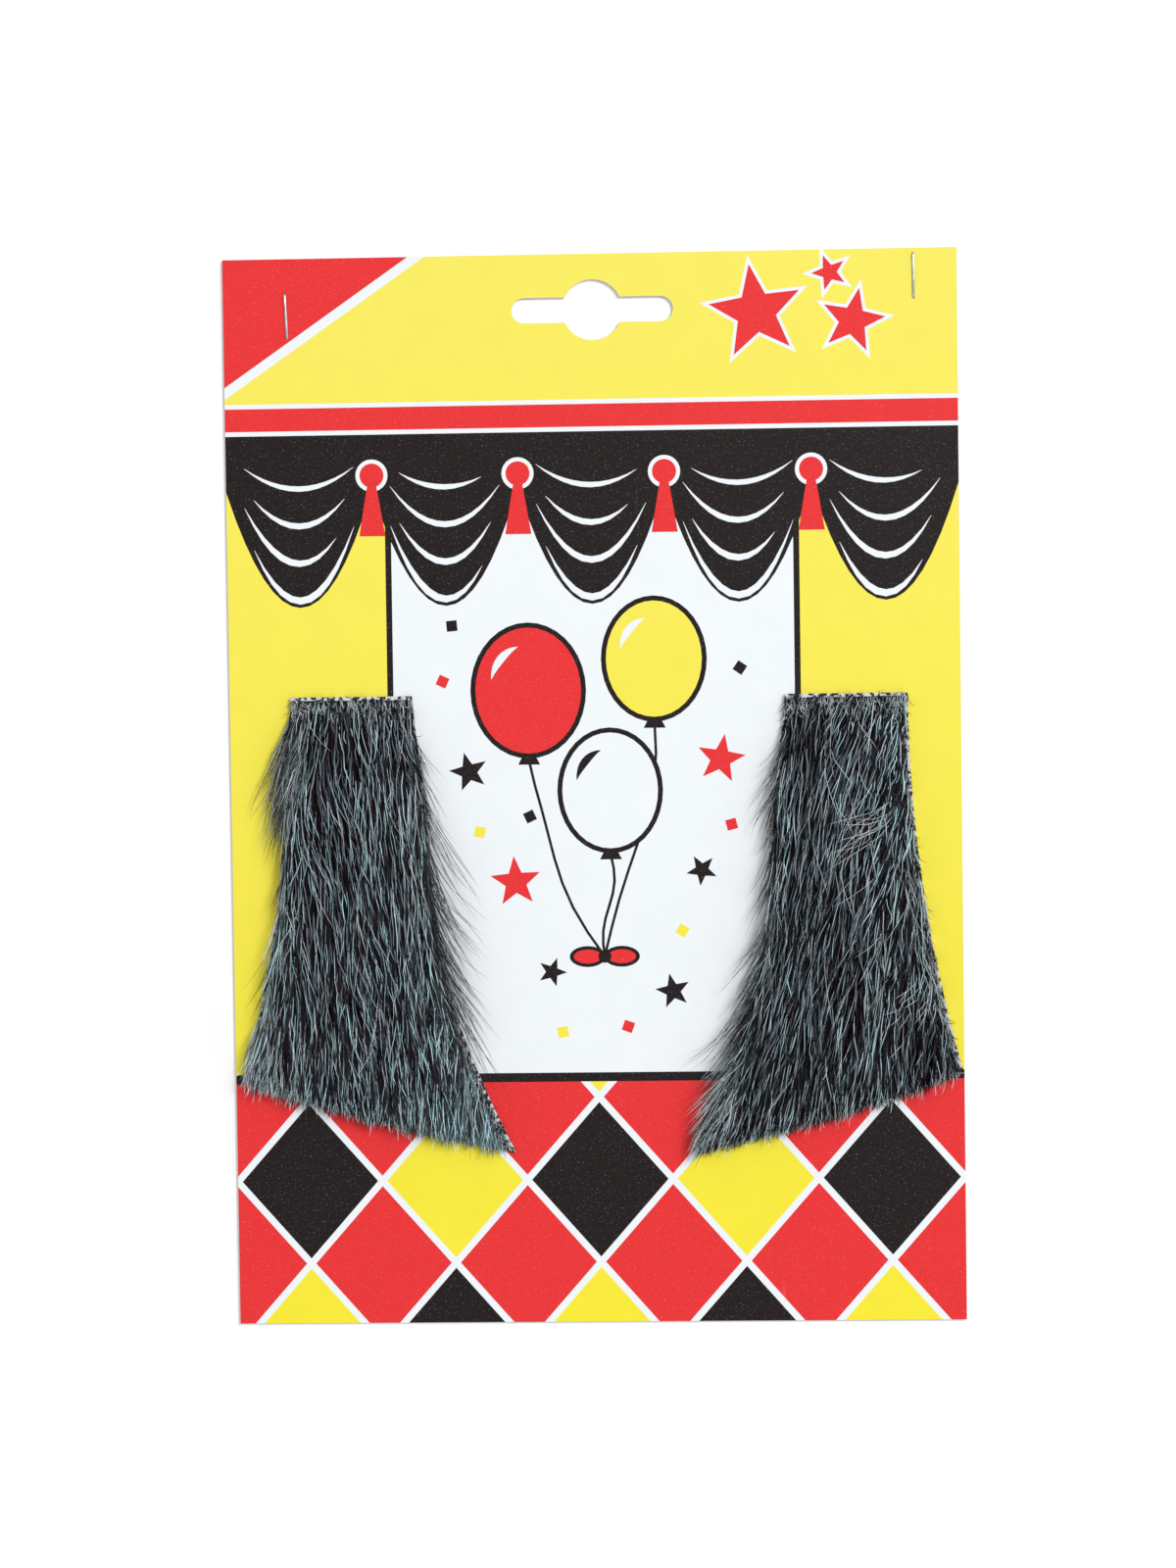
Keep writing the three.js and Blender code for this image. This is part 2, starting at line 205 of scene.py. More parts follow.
# Both sideburns. Past hem is how far the hairs reach past the cloth at both ends of the hem.
# The nap rows give the lean towards the cheek in degrees, by the share of the way down,
# at four places across: the outer edge, a quarter in, the middle and the cheek edge.
# The wisps are loose hairs past an edge, the cut edges have short hairs with their roots bare,
# the strays lie across the nap, and the tints make the hair paler or darker within their reach.
NAP_PLACES = {"outer": 0, "quarter": 0.25, "middle": 0.5, "cheek": 1}
NAP_COLUMNS = "fall outer quarter middle cheek"
WISP_COLUMNS = "edge from to count lean length tone"
CUT_COLUMNS = "edge from to count"
STRAY_COLUMNS = "u fall spread count lean splay length"
TINT_COLUMNS = "u fall u_reach fall_reach paler"
SIDEBURNS = [
    {
        "name": "left",
        "node": "sideburn_left",
        "x": -48.2,
        "y": 19.2,
        "mirror": 1,
        "past_hem": {"outer": 2.0, "cheek": -0.6},
        "nap": table(
            NAP_COLUMNS,
            (0.0, -6, 0, 3, 4),
            (0.06, -17, -2, 4, 8),
            (0.15, -19, 3, 7, 7),
            (0.28, -6, 14, 11, 2),
            (0.42, 2, 12, 9, 3),
            (0.55, 0, 6, 8, 6),
            (0.75, -6, 4, 9, 4),
            (1.0, -10, -2, 6, -6),
        ),
        "wisps": table(
            WISP_COLUMNS,
            ("cheek", 0.18, 0.6, 200, 35, 25, 0.3),
            ("cheek", 0.05, 0.2, 40, 22, 15, 0.3),
            ("cheek", 0.08, 0.9, 120, 16, 11, 0.5),
            ("outer", 0.02, 0.19, 240, -26, 19, 0.55),
            ("outer", 0.3, 0.9, 130, -10, 16, 0.7),
            ("outer", 0.84, 0.97, 150, -24, 9, 0.7),
            ("hem", 0.02, 0.98, 300, 2, 7, 0.8),
            ("hem", 0.0, 0.22, 120, -4, 6, 1.0),
        ),
        "cut_edges": table(
            CUT_COLUMNS,
            ("top", 0.0, 1.0, 480),
            ("cheek", 0.6, 1.0, 1200),
            ("outer", 0.0, 0.06, 40),
            ("cheek", 0.0, 0.12, 90),
        ),
        "strays": table(
            STRAY_COLUMNS,
            (0.5, 0.45, 0.3, 26, 4, 14, 14),
        ),
        "tints": table(
            TINT_COLUMNS,
            (1.0, 1.0, 0.4, 0.17, 0.7),
            (0.4, 1.0, 1.0, 0.2, 0.15),
            (0.5, 0.0, 2.0, 0.2, -0.06),
            (0.25, 0.15, 0.2, 0.15, -0.12),
            (0.3, 0.48, 0.12, 0.1, -0.15),
            (0.93, 0.72, 0.12, 0.28, 0.2),
        ),
    },
    {
        "name": "right",
        "node": "sideburn_right",
        "x": 49.9,
        "y": 18.7,
        "mirror": -1,
        "past_hem": {"outer": 0.3, "cheek": -0.7},
        "nap": table(
            NAP_COLUMNS,
            (0.0, 6, 12, 14, 5),
            (0.1, 12, 20, 20, 8),
            (0.25, 10, 20, 20, 3),
            (0.45, 5, 11, 14, 8),
            (0.65, 6, 10, 11, 17),
            (0.85, 4, 7, 11, 24),
            (1.0, -2, 4, 11, 26),
        ),
        "wisps": table(
            WISP_COLUMNS,
            ("cheek", 0.08, 0.18, 44, 40, 14, 0.4),
            ("cheek", 0.26, 0.55, 75, 28, 16, 0.5),
            ("cheek", 0.42, 0.7, 65, 35, 18, 0.5),
            ("cheek", 0.55, 0.88, 110, 40, 22, 0.5),
            ("cheek", 0.72, 0.95, 240, 40, 15, 0.8),
            ("cheek", 0.08, 0.95, 120, 20, 11, 0.5),
            ("outer", 0.2, 0.85, 60, -16, 8, 0.7),
            ("hem", 0.02, 0.98, 320, 9, 7, 0.85),
        ),
        "cut_edges": table(
            CUT_COLUMNS,
            ("top", 0.0, 1.0, 480),
            ("outer", 0.0, 1.0, 1500),
            ("outer", 0.45, 1.0, 900),
            ("cheek", 0.0, 0.08, 60),
        ),
        "strays": table(
            STRAY_COLUMNS,
            (0.1, 0.27, 0.03, 9, 66, 9, 17),
            (0.3, 0.31, 0.06, 9, 46, 12, 12),
            (0.45, 0.2, 0.1, 4, -43, 3, 9),
            (0.25, 0.6, 0.1, 12, 24, 16, 13),
            (0.09, 0.78, 0.07, 24, 20, 40, 6),
            (0.5, 0.5, 0.25, 30, 8, 12, 16),
        ),
        "tints": table(
            TINT_COLUMNS,
            (0.5, 0.6, 2.0, 0.4, -0.07),
            (0.76, 0.13, 0.16, 0.14, -0.28),
            (0.12, 0.33, 0.15, 0.25, 0.18),
            (0.42, 0.48, 0.12, 0.16, -0.17),
            (0.3, 0.75, 0.1, 0.1, 0.18),
            (0.12, 0.86, 0.1, 0.1, -0.2),
            (0.5, 1.0, 1.0, 0.1, 0.2),
        ),
    },
]

# Hair profiles: the turn of the first of a hair's three sides in degrees, where 30 lays a flat side
# upward and 90 an edge, the shares of the length where a hair has its rings and its tip, and the
# share of its radius at each ring
HAIR_SIDES = 3
HAIR_PROFILES = {
    "plain": {
        "ridge": 90,
        "stations": np.array([0.0, 0.3, 0.7, 1.0]),
        "taper": np.array([1.0, 1.0, 0.8]),
    },
    "wavy": {
        "ridge": 30,
        "stations": np.array([0.0, 0.14, 0.36, 0.6, 0.84, 1.0]),
        "taper": np.array([1.0, 1.0, 0.95, 0.85, 0.6]),
    },
}

# Coats of the pile. Lengths and radii are in millimetres and leans in degrees.
# Lift is a share of the pile's height. Tones run from 0, dark, to 1, pale, each with its share.
# Tufts with a gap keep that distance from each other across the nap, and three times it along.
# Wander is how far a hair turns aside, and dive how far it strays in height.
TONE_COLUMNS = "share low high"
COATS = [
    {
        "name": "under",
        "profile": "plain",
        "tufts": 2100,
        "gap": 0,
        "hairs": 4,
        "length": 14,
        "lift": (0.15, 0.6),
        "lean_spread": 8,
        "root_spread": 0.4,
        "fan": 0.8,
        "wander": 0.12,
        "dive": 0.2,
        "radius": (0.065, 0.095),
        "tones": table(TONE_COLUMNS, (0.8, 0.0, 0.3), (0.2, 0.3, 0.6)),
    },
    {
        "name": "top",
        "profile": "plain",
        "tufts": 4800,
        "gap": 0,
        "hairs": 2,
        "length": 17,
        "lift": (0.45, 0.9),
        "lean_spread": 6,
        "root_spread": 0.15,
        "fan": 0.4,
        "wander": 0.14,
        "dive": 0.3,
        "radius": (0.065, 0.095),
        "tones": table(TONE_COLUMNS, (0.6, 0.0, 0.3), (0.4, 0.3, 0.62)),
    },
    # The sheen coat's pale hairs are partly painted highlight: their pale colour stands in for glints off
    # shiny fibres, as well as being the real pale fibres of the mix.
    {
        "name": "sheen",
        "profile": "wavy",
        "tufts": 9000,
        "gap": 0.54,
        "hairs": 1,
        "length": 10.5,
        "lift": (0.8, 1.06),
        "lean_spread": 6.5,
        "root_spread": 0.0,
        "fan": 0.4,
        "wander": 0.22,
        "dive": 0.3,
        "radius": (0.055, 0.118),
        "tones": table(TONE_COLUMNS, (0.5, 0.55, 0.8), (0.5, 0.8, 1.0)),
    },
]
GAP_ALONG = 3

# What the coats share: the spread of lengths from tuft to tuft and from hair to hair, of the cut at
# the hem in millimetres, of the curl in degrees and of the tone. Hairs rooted within reach of a cut
# edge have all lengths from the least share up, and short ones rise less.
COAT_SPREAD = {"tuft_length": (0.8, 1.15), "hair_length": (0.72, 1.12), "hem": 0.6, "curl": 5, "tone": 0.06}
CUT_EDGE_REACH = 8
CUT_EDGE_LEAST = 0.2
SHORT_LIFT = 0.3

# Single hairs, in the same units. Uncut is how far they are left past the hem.
WISPS = {
    "name": "wisps",
    "profile": "wavy",
    "inset": 2.2,
    "lean_share": (0.5, 1.1),
    "length_share": (0.55, 1.2),
    "tone_share": (-0.4, 0.4),
    "lift": (0.5, 1.05),
    "curl": 10,
    "uncut": 1.2,
    "wander": 0.12,
    "dive": 0.12,
    "radius": (0.04, 0.075),
}
STRAYS = {
    "name": "strays",
    "profile": "wavy",
    "inside_u": (0.04, 0.96),
    "inside_fall": (0.03, 0.9),
    "length_share": (0.7, 1.3),
    "lift": (1.0, 1.12),
    "curl": 18,
    "uncut": 0,
    "wander": 0.15,
    "dive": 0.12,
    "tone": (0.85, 1),
    "radius": (0.045, 0.064),
}
STUBBLE = {
    "name": "stubble",
    "profile": "plain",
    "inset": 0.6 * CLOTH_RIM,
    "band": 3.0,
    "band_power": 1.2,
    "length": (0.8, 3.0),
    "lift": (0.3, 1.3),
    "lean_spread": 22,
    "curl": 40,
    "uncut": 0,
    "wander": 0.12,
    "dive": 0.12,
    "radius": (0.05, 0.09),
    "tones": table(TONE_COLUMNS, (0.55, 0.0, 0.45), (0.45, 0.75, 1.0)),
}

# A hair's path: its steps, how far past its length it runs, the hair's whole length in steps, and
# the last place that is read, just short of the last step.
# It rises from its root, first quickly and then slowly, and sinks again past an edge of the cloth.
# Its own lean sets in from a first share. The roots lie inside the cloth.
PATH_STEPS = 14
PATH_REACH = 1.15
FULL_REACH = (PATH_STEPS - 1) / PATH_REACH
PATH_END = PATH_STEPS - 1.001
RISE = {"quick": 0.55, "rate": 5, "slow": 0.45}
DROOP = {"width": 30, "rate": 0.09}
LEAN_SET = {"first": 0.35, "rate": 1.3}
ROOT_DEPTH = 0.3
HAIR_WAVES = (0.5, 1.3)
WAVES_SET = 4
OVER_CARD = 0.12

# Fibre colours, linear, for dark, middle and pale tones, how far painted root shade darkens the roots,
# and how far fibres of nearly the same tone differ in their red. Red turns is how fast the red goes up
# and down as the tone grows, in radians.
FIBRES = named_table("Dark Middle Light Roots Reds", {
    "under": ((0.011, 0.0032, 0.005, 1), (0.034, 0.025, 0.031, 1), (0.19, 0.24, 0.26, 1), 0.8, 0.18),
    "top": ((0.011, 0.0036, 0.0055, 1), (0.07, 0.067, 0.086, 1), (0.3, 0.36, 0.41, 1), 0.7, 0.18),
    # The sheen fibres' pale tones are partly painted highlight and partly the real pale fibres.
    "sheen": ((0.02, 0.025, 0.028, 1), (0.133, 0.166, 0.196, 1), (0.71, 0.93, 0.985, 1), 0.5, 0.18),
    "loose": ((0.015, 0.017, 0.02, 1), (0.1, 0.115, 0.122, 1), (0.84, 0.94, 0.96, 1), 0.2, 0.1),
})
FIBRE_FINISH = {"specular": 0.06}
RED_TURNS = 70

# Scales of the noise in the finishes, in turns per metre
NOISE_SCALES = {
    "flecks": 2600,
    "scratches": 900,
    "scuffs": 26,
    "mottle": 140,
    "coating": 1500,
    "wire_streaks": 9000,
    "wire_patches": 700,
    "knit_loops": 1000,
    "knit_patches": 900,
}

# The map of a hair: its tone across, with a little more for each side, and its length upward
MAP_NAME = "OFBake"
HAIR_MAP = {"tone_start": 0.02, "tone_share": 0.94, "side": 0.006, "up_start": 0.01, "up_share": 0.98}
ROOT_MAP_HEIGHT = 0.02

# Camera, floor and light, in metres, degrees, watts and millimetres of lens
CAMERA = {
    "lens": 85,
    "sensor": 36,
    "place": (0.03017, 0.02976, 0.73398),
    "turn": (-2.253, 2.433, -0.789),
}
FLOOR = {"reach": 3.0, "height": -0.2 * MM, "colour": (0.98, 0.98, 0.98, 1)}
KEY_LIGHT = {"place": (1.75, 1.3, 3.35), "size": 1.1, "power": 88.0}
SKY_STRENGTH = 0.6


# Plane outlines of the print, in millimetres

def rectangle(left, bottom, right, top):
    return [(left, bottom), (right, bottom), (right, top), (left, top)]


def band(bottom, top):
    """An area right across the card and off both its sides."""
    return rectangle(-BLEED["x"], bottom, BLEED["x"], top)


def ellipse(x, y, half_width, half_height, steps=36):
    angles = [2 * math.pi * i / steps for i in range(steps)]
    return [(x + half_width * math.cos(a), y + half_height * math.sin(a)) for a in angles]


def spokes(x, y, reaches, turn):
    """Corners round a middle, each at its own reach, from a first angle in degrees."""
    angles = [math.radians(turn + 360 * i / len(reaches)) for i in range(len(reaches))]
    return [(x + reach * math.cos(a), y + reach * math.sin(a)) for reach, a in zip(reaches, angles)]


def star(x, y, radius, turn):
    return spokes(x, y, [radius, STAR_NOTCH * radius] * 5, 90 + turn)


def lozenge(x, y, half_width, half_height):
    return [(x + half_width, y), (x, y + half_height), (x - half_width, y), (x, y - half_height)]


def unit(vectors):
    return vectors / (np.linalg.norm(vectors, axis=-1, keepdims=True) + 1e-12)


def ribbon(line, widths):
    """A band along a line of points, with the band's width at each point."""
    along = unit(np.gradient(line, axis=0))
    aside = np.stack([-along[:, 1], along[:, 0]], 1) * np.reshape(widths, (-1, 1)) / 2
    return [tuple(p) for p in line - aside] + [tuple(p) for p in (line + aside)[::-1]]


def slot_outline(steps=10):
    """The hanging slot: round middle, arms and round ends."""
    arm = SLOT["arm_height"] / 2
    middle = SLOT["round_diameter"] / 2
    end = SLOT["length"] / 2 - arm
    meet = math.asin(arm / middle)
    arcs = [
        (end, arm, -math.pi / 2, math.pi / 2),
        (0, middle, meet, math.pi - meet),
        (-end, arm, math.pi / 2, 1.5 * math.pi),
        (0, middle, math.pi + meet, 2 * math.pi - meet),
    ]
    outline = []
    for centre, radius, first, last in arcs:
        for i in range(steps + 1):
            angle = first + (last - first) * i / steps
            x = SLOT["x"] + centre + radius * math.cos(angle)
            outline.append((x, SLOT["y"] + radius * math.sin(angle)))
    return outline


# Layers of the print, each an ink and an outline. Later layers cover the earlier ones.

def floor_layers():
    """Red, black and yellow lozenges with white keylines along the foot of the card."""
    wide, tall = LOZENGES["wide"], LOZENGES["tall"]
    half = (wide / 2 - KEYLINE, tall / 2 - KEYLINE * tall / wide)
    layers = [(WHITE, band(-BLEED["y"], STAGE_EDGE + LOZENGES["underlap"]))]
    for row in range(LOZENGES["rows"]):
        for column in LOZENGES["columns"]:
            x = (column + 0.5 * (row % 2)) * wide
            y = STAGE_EDGE - LOZENGES["drop"] - (row - 1) * tall / 2
            plain = BLACK if (column + row // 2) % 2 else YELLOW
            layers.append((RED if row % 2 else plain, lozenge(x, y, *half)))
    layers.append((YELLOW, band(STAGE_EDGE, BLEED["y"])))
    return layers


def string_outline(balloon):
    """The string from under a balloon down to the bow."""
    x, low = balloon["x"], balloon["y"] - balloon["half_height"] - STRING["gap"]
    shares = np.linspace(0, 1, LINE_STEPS)
    sway = STRING["sway"] * np.sin(2 * math.pi * shares)
    line_x = x + (BOW["x"] - x) * shares ** STRING["bend"] + sway
    line_y = low + (BOW["y"] - low) * shares
    return ribbon(np.stack([line_x, line_y], 1), [STRING["width"]] * LINE_STEPS)


def balloon_layers(balloon):
    """A balloon with its knot, its outline and a curved shine."""
    x, y = balloon["x"], balloon["y"]
    wide, tall = balloon["half_width"], balloon["half_height"]
    foot = y - tall
    knot = [(x + side * KNOT["half_width"], foot - KNOT["drop"]) for side in (-1, 1)]
    angles = np.radians(np.linspace(SHINE["first"], SHINE["last"], LINE_STEPS))
    inset = SHINE["inset"]
    shine = np.stack([x + inset * wide * np.cos(angles), y + inset * tall * np.sin(angles)], 1)
    swell = np.sin(np.linspace(0, math.pi, LINE_STEPS))
    return [
        (BLACK, knot + [(x, foot + KNOT["rise"])]),
        (BLACK, ellipse(x, y, wide + BALLOON_LINE, tall + BALLOON_LINE)),
        (balloon["ink"], ellipse(x, y, wide, tall)),
        (BLACK if balloon["ink"] == WHITE else WHITE, ribbon(shine, SHINE["tip"] + SHINE["width"] * swell)),
    ]


def backdrop_layers():
    """A white panel with balloons tied in a bow, and confetti."""
    inside = PANEL_HALF_WIDTH - PANEL_LINE
    layers = [
        (BLACK, rectangle(-PANEL_HALF_WIDTH, STAGE_EDGE, PANEL_HALF_WIDTH, RAIL_BOTTOM)),
        (WHITE, rectangle(-inside, STAGE_EDGE, inside, RAIL_BOTTOM)),
        (BLACK, band(STAGE_EDGE - STAGE_LINE / 2, STAGE_EDGE + STAGE_LINE / 2)),
    ]
    layers += [(BLACK, string_outline(balloon)) for balloon in BALLOONS]
    for balloon in BALLOONS:
        layers += balloon_layers(balloon)
    for side in (-1, 1):
        loop_x = BOW["x"] + side * BOW["aside"]
        layers.append((BLACK, ellipse(loop_x, BOW["y"], *BOW["rim"], steps=20)))
        layers.append((RED, ellipse(loop_x, BOW["y"], *BOW["loop"], steps=20)))
    layers.append((BLACK, ellipse(BOW["x"], BOW["y"], BOW["knot"], BOW["knot"], steps=14)))
    for piece in CONFETTI:
        layers.append((piece["ink"], spokes(piece["x"], piece["y"], [CONFETTI_RADIUS] * 4, piece["turn"])))
    return layers


def curtain_layers():
    """Black swags with white folds and red tassels under a red rail."""
    layers = []
    pitch = CARD_WIDTH / SWAGS["count"]
    ends = [-CARD_WIDTH / 2 + i * pitch for i in range(SWAGS["count"])]
    shares = np.linspace(0, 1, SWAGS["steps"])
    sag = 4 * shares * (1 - shares)
    fold_top = RAIL_BOTTOM - FOLDS["start"]
    for i, left in enumerate(ends):
        x = left + pitch * shares
        hem = SWAGS["ends"] + (SWAGS["middle"] - SWAGS["ends"]) * sag
        layers.append((BLACK, list(zip(x, hem)) + [(left + pitch, RAIL_BOTTOM), (left, RAIL_BOTTOM)]))
        for fold in range(FOLDS["count"]):
            depth = FOLDS["depth"] + FOLDS["deeper"] * fold
            line_y = fold_top - fold * FOLDS["drop"] + (SWAGS["middle"] - fold_top) * depth * sag
            # Folds begin and end a few steps in, by turns
            inner = slice(2 + (fold + i) % 2, SWAGS["steps"] - 2 - (fold + 2 * i) % 3)
            line = np.stack([x, line_y], 1)[inner]
            swell = np.sin(np.linspace(0, math.pi, len(line)))
            width = FOLDS["width"] + FOLDS["wider"] * fold
            layers.append((WHITE, ribbon(line, FOLD_TIP + width * swell)))
    knob_y = SWAGS["ends"] + TASSEL["up"]
    low, high = SWAGS["ends"] - TASSEL["drop"], SWAGS["ends"] + TASSEL["rise"]
    foot, neck = TASSEL["foot"], TASSEL["neck"]
    for x in ends[1:]:
        layers.append((WHITE, ellipse(x, knob_y, TASSEL["rim"], TASSEL["rim"], steps=24)))
        layers.append((RED, ellipse(x, knob_y, TASSEL["knob"], TASSEL["knob"], steps=24)))
        layers.append((RED, [(x - foot, low), (x + foot, low), (x + neck, high), (x - neck, high)]))
    layers.append((WHITE, band(RAIL_BOTTOM - KEYLINE, RAIL_TOP + KEYLINE)))
    layers.append((RED, band(RAIL_BOTTOM, RAIL_TOP)))
    return layers


def corner_layers():
    """The red corner flash with its white stripe, and all the stars."""
    left, top = -CARD_WIDTH / 2, CARD_HEIGHT / 2
    wide, tall = FLASH["wide"], FLASH["tall"]
    grow = 1 + FLASH["stripe"] * math.hypot(wide, tall) / (wide * tall)
    layers = [
        (WHITE, [(left, top), (left, top - tall * grow), (left + wide * grow, top)]),
        (RED, [(left, top), (left, top - tall), (left + wide, top)]),
    ]
    for mark in STARS:
        layers.append((WHITE, star(mark["x"], mark["y"], mark["radius"] + STAR_RIM, mark["turn"])))
        layers.append((mark["ink"], star(mark["x"], mark["y"], mark["radius"], mark["turn"])))
    return layers


def anticlockwise(outline):
    points = np.array(outline, float)
    x, y = points[:, 0], points[:, 1]
    doubled_area = np.sum(x * np.roll(y, -1) - np.roll(x, -1) * y)
    return points if doubled_area > 0 else points[::-1]


# Shader nodes

def feed(tree, given, socket):
    """Gives a socket another node's output or a plain value."""
    if isinstance(given, bpy.types.NodeSocket):
        tree.links.new(given, socket)
    else:
        socket.default_value = given


def add_node(tree, kind, inputs=None, **settings):
    """A node with its settings, and with its inputs fed."""
    node = tree.nodes.new(kind)
    for name, value in settings.items():
        setattr(node, name, value)
    for label, given in (inputs or {}).items():
        feed(tree, given, node.inputs[label])
    return node


def new_group(name, inputs, outputs):
    """A shader node group with its named sockets, what it is given and what it makes."""
    group = bpy.data.node_groups.new(name, "ShaderNodeTree")
    for label, value in inputs.items():
        kind = "NodeSocketColor" if isinstance(value, tuple) else "NodeSocketFloat"
        group.interface.new_socket(label, in_out="INPUT", socket_type=kind).default_value = value
    for label in outputs:
        kind = "NodeSocketColor" if label == "Color" else "NodeSocketFloat"
        group.interface.new_socket(label, in_out="OUTPUT", socket_type=kind)
    return group, add_node(group, "NodeGroupInput").outputs, add_node(group, "NodeGroupOutput").inputs


def mix_colour(tree, share, first, second, blend="MIX"):
    inputs = {0: share, 6: first, 7: second}
    return add_node(tree, "ShaderNodeMix", inputs, data_type="RGBA", blend_type=blend).outputs[2]


def math_node(tree, operation, *numbers):
    return add_node(tree, "ShaderNodeMath", dict(enumerate(numbers)), operation=operation).outputs[0]


def remap(tree, value, low, high, to_low=0.0, to_high=1.0):
    inputs = {"Value": value, "From Min": low, "From Max": high, "To Min": to_low, "To Max": to_high}
    return add_node(tree, "ShaderNodeMapRange", inputs).outputs["Result"]


def noise(tree, place, finish, detail=2.0):
    inputs = {"Vector": place, "Scale": NOISE_SCALES[finish], "Detail": detail}
    return add_node(tree, "ShaderNodeTexNoise", inputs).outputs["Fac"]


def pulled_out(tree, place, share, turn=0.0):
    """Places squeezed along one way, which pulls out the noise on them into streaks."""
    inputs = {"Vector": place, "Rotation": (0, 0, turn), "Scale": (1, share, 1)}
    return add_node(tree, "ShaderNodeMapping", inputs).outputs[0]


# Node groups

def print_surface_group():
    """Printed board: flecks where ink missed, a paler top, faint scuffs and a fine coated grain."""
    group, given, made = new_group(
        "print_surface",
        {"Ink": BOARD_WHITE, "Flecks": 0.1, "Fade": 0.1},
        ["Color", "Roughness", "Height"],
    )
    place = add_node(group, "ShaderNodeTexCoord").outputs["Object"]
    up = add_node(group, "ShaderNodeSeparateXYZ", {0: place}).outputs["Y"]
    fading = math_node(group, "MULTIPLY", remap(group, up, -0.1, 0.1), given["Fade"])
    faded = mix_colour(group, fading, given["Ink"], BOARD_WHITE)
    fleck = remap(group, noise(group, place, "flecks", 1.0), 0.62, 0.78)
    missing = math_node(group, "MULTIPLY", fleck, given["Flecks"])
    flecked = mix_colour(group, missing, faded, BOARD_WHITE)
    slanting = pulled_out(group, place, 0.08, 0.5)
    scratch = remap(group, noise(group, slanting, "scratches", 3.0), 0.68, 0.76)
    patch = remap(group, noise(group, place, "scuffs"), 0.55, 0.7)
    scuff = math_node(group, "MULTIPLY", scratch, patch)
    worn = mix_colour(group, math_node(group, "MULTIPLY", scuff, 0.08), flecked, BOARD_WHITE)
    mottle = remap(group, noise(group, place, "mottle", 3.0), 0.3, 0.7, 0.985, 1.01)
    grey = add_node(group, "ShaderNodeCombineColor", {0: mottle, 1: mottle, 2: mottle}).outputs[0]
    feed(group, mix_colour(group, 1.0, worn, grey, "MULTIPLY"), made["Color"])
    grain = noise(group, place, "coating")
    even = remap(group, grain, 0.3, 0.7, 0.38, 0.5)
    rough = math_node(group, "ADD", even, math_node(group, "MULTIPLY", scuff, 0.3))
    feed(group, rough, made["Roughness"])
    feed(group, grain, made["Height"])
    return group


def fibre_tone_group():
    """Fibre colour: across the map runs each fibre's own tone, up the map its root to its tip.

    Fibres of nearly the same tone differ in their red, so the pile is a mix of cool and warm greys.
    """
    group, given, made = new_group("fibre_tone", FIBRES["top"], ["Color", "Roughness"])
    place = add_node(group, "ShaderNodeUVMap", uv_map=MAP_NAME).outputs[0]
    split = add_node(group, "ShaderNodeSeparateXYZ", {0: place}).outputs
    tone, along = split["X"], split["Y"]
    lower = mix_colour(group, remap(group, tone, 0.05, 0.6), given["Dark"], given["Middle"])
    whole = mix_colour(group, remap(group, tone, 0.6, 0.95), lower, given["Light"])
    # Painted shade: the roots are darkened towards the dark colour, standing in for the shade deep in the
    # pile.
    shade = math_node(group, "MULTIPLY", remap(group, along, 0.3, 0.08), given["Roots"])
    shaded = mix_colour(group, shade, whole, given["Dark"])
    turns = math_node(group, "SINE", math_node(group, "MULTIPLY", tone, RED_TURNS))
    red = math_node(group, "ADD", 1.0, math_node(group, "MULTIPLY", turns, given["Reds"]))
    tint = add_node(group, "ShaderNodeCombineColor", {0: red, 1: 1.0, 2: 1.0}).outputs[0]
    feed(group, mix_colour(group, 1.0, shaded, tint, "MULTIPLY"), made["Color"])
    feed(group, remap(group, tone, 0.0, 1.0, 0.34, 0.5), made["Roughness"])
    return group


def cloth_knit_group():
    """Knitted backing cloth: small loops, with the roots of dark tufts showing as dots."""
    group, given, made = new_group(
        "cloth_knit",
        {"Yarn": (0.6, 0.6, 0.58, 1), "Tuft": (0.02, 0.02, 0.024, 1), "Tufts": 0.8},
        ["Color", "Height"],
    )
    place = add_node(group, "ShaderNodeTexCoord").outputs["Object"]
    cell_inputs = {"Vector": place, "Scale": NOISE_SCALES["knit_loops"]}
    loops = add_node(group, "ShaderNodeTexVoronoi", cell_inputs, feature="F1").outputs["Distance"]
    dots = remap(group, loops, 0.46, 0.26)
    patches = remap(group, noise(group, place, "knit_patches", 1.0), 0.49, 0.58)
    patchy = math_node(group, "MAXIMUM", dots, patches)
    tufted = math_node(group, "MULTIPLY", patchy, given["Tufts"])
    feed(group, mix_colour(group, tufted, given["Yarn"], given["Tuft"]), made["Color"])
    feed(group, loops, made["Height"])
    return group


# Materials

def new_material(name, roughness=0.5, metallic=0.0, specular=0.5):
    material = bpy.data.materials.new(name)
    material.use_nodes = True
    shader = material.node_tree.nodes["Principled BSDF"].inputs
    shader["Roughness"].default_value = roughness
    shader["Metallic"].default_value = metallic
    shader["Specular IOR Level"].default_value = specular
    return material, shader


def add_bump(tree, shader, height, strength, depth):
    inputs = {"Strength": strength, "Distance": depth, "Height": height}
    feed(tree, add_node(tree, "ShaderNodeBump", inputs).outputs["Normal"], shader["Normal"])


def surface_material(name, group, values, specular, roughness=0.5, bump=0.0, bump_depth=0.0):
    """A material with one group for its colour, and for its roughness and bump where it has them."""
    material, shader = new_material(name, roughness=roughness, specular=specular)
    tree = material.node_tree
    surface = add_node(tree, "ShaderNodeGroup", values, node_tree=group).outputs
    feed(tree, surface["Color"], shader["Base Color"])
    if "Roughness" in surface:
        feed(tree, surface["Roughness"], shader["Roughness"])
    if bump:
        add_bump(tree, shader, surface["Height"], bump, bump_depth)
    return material


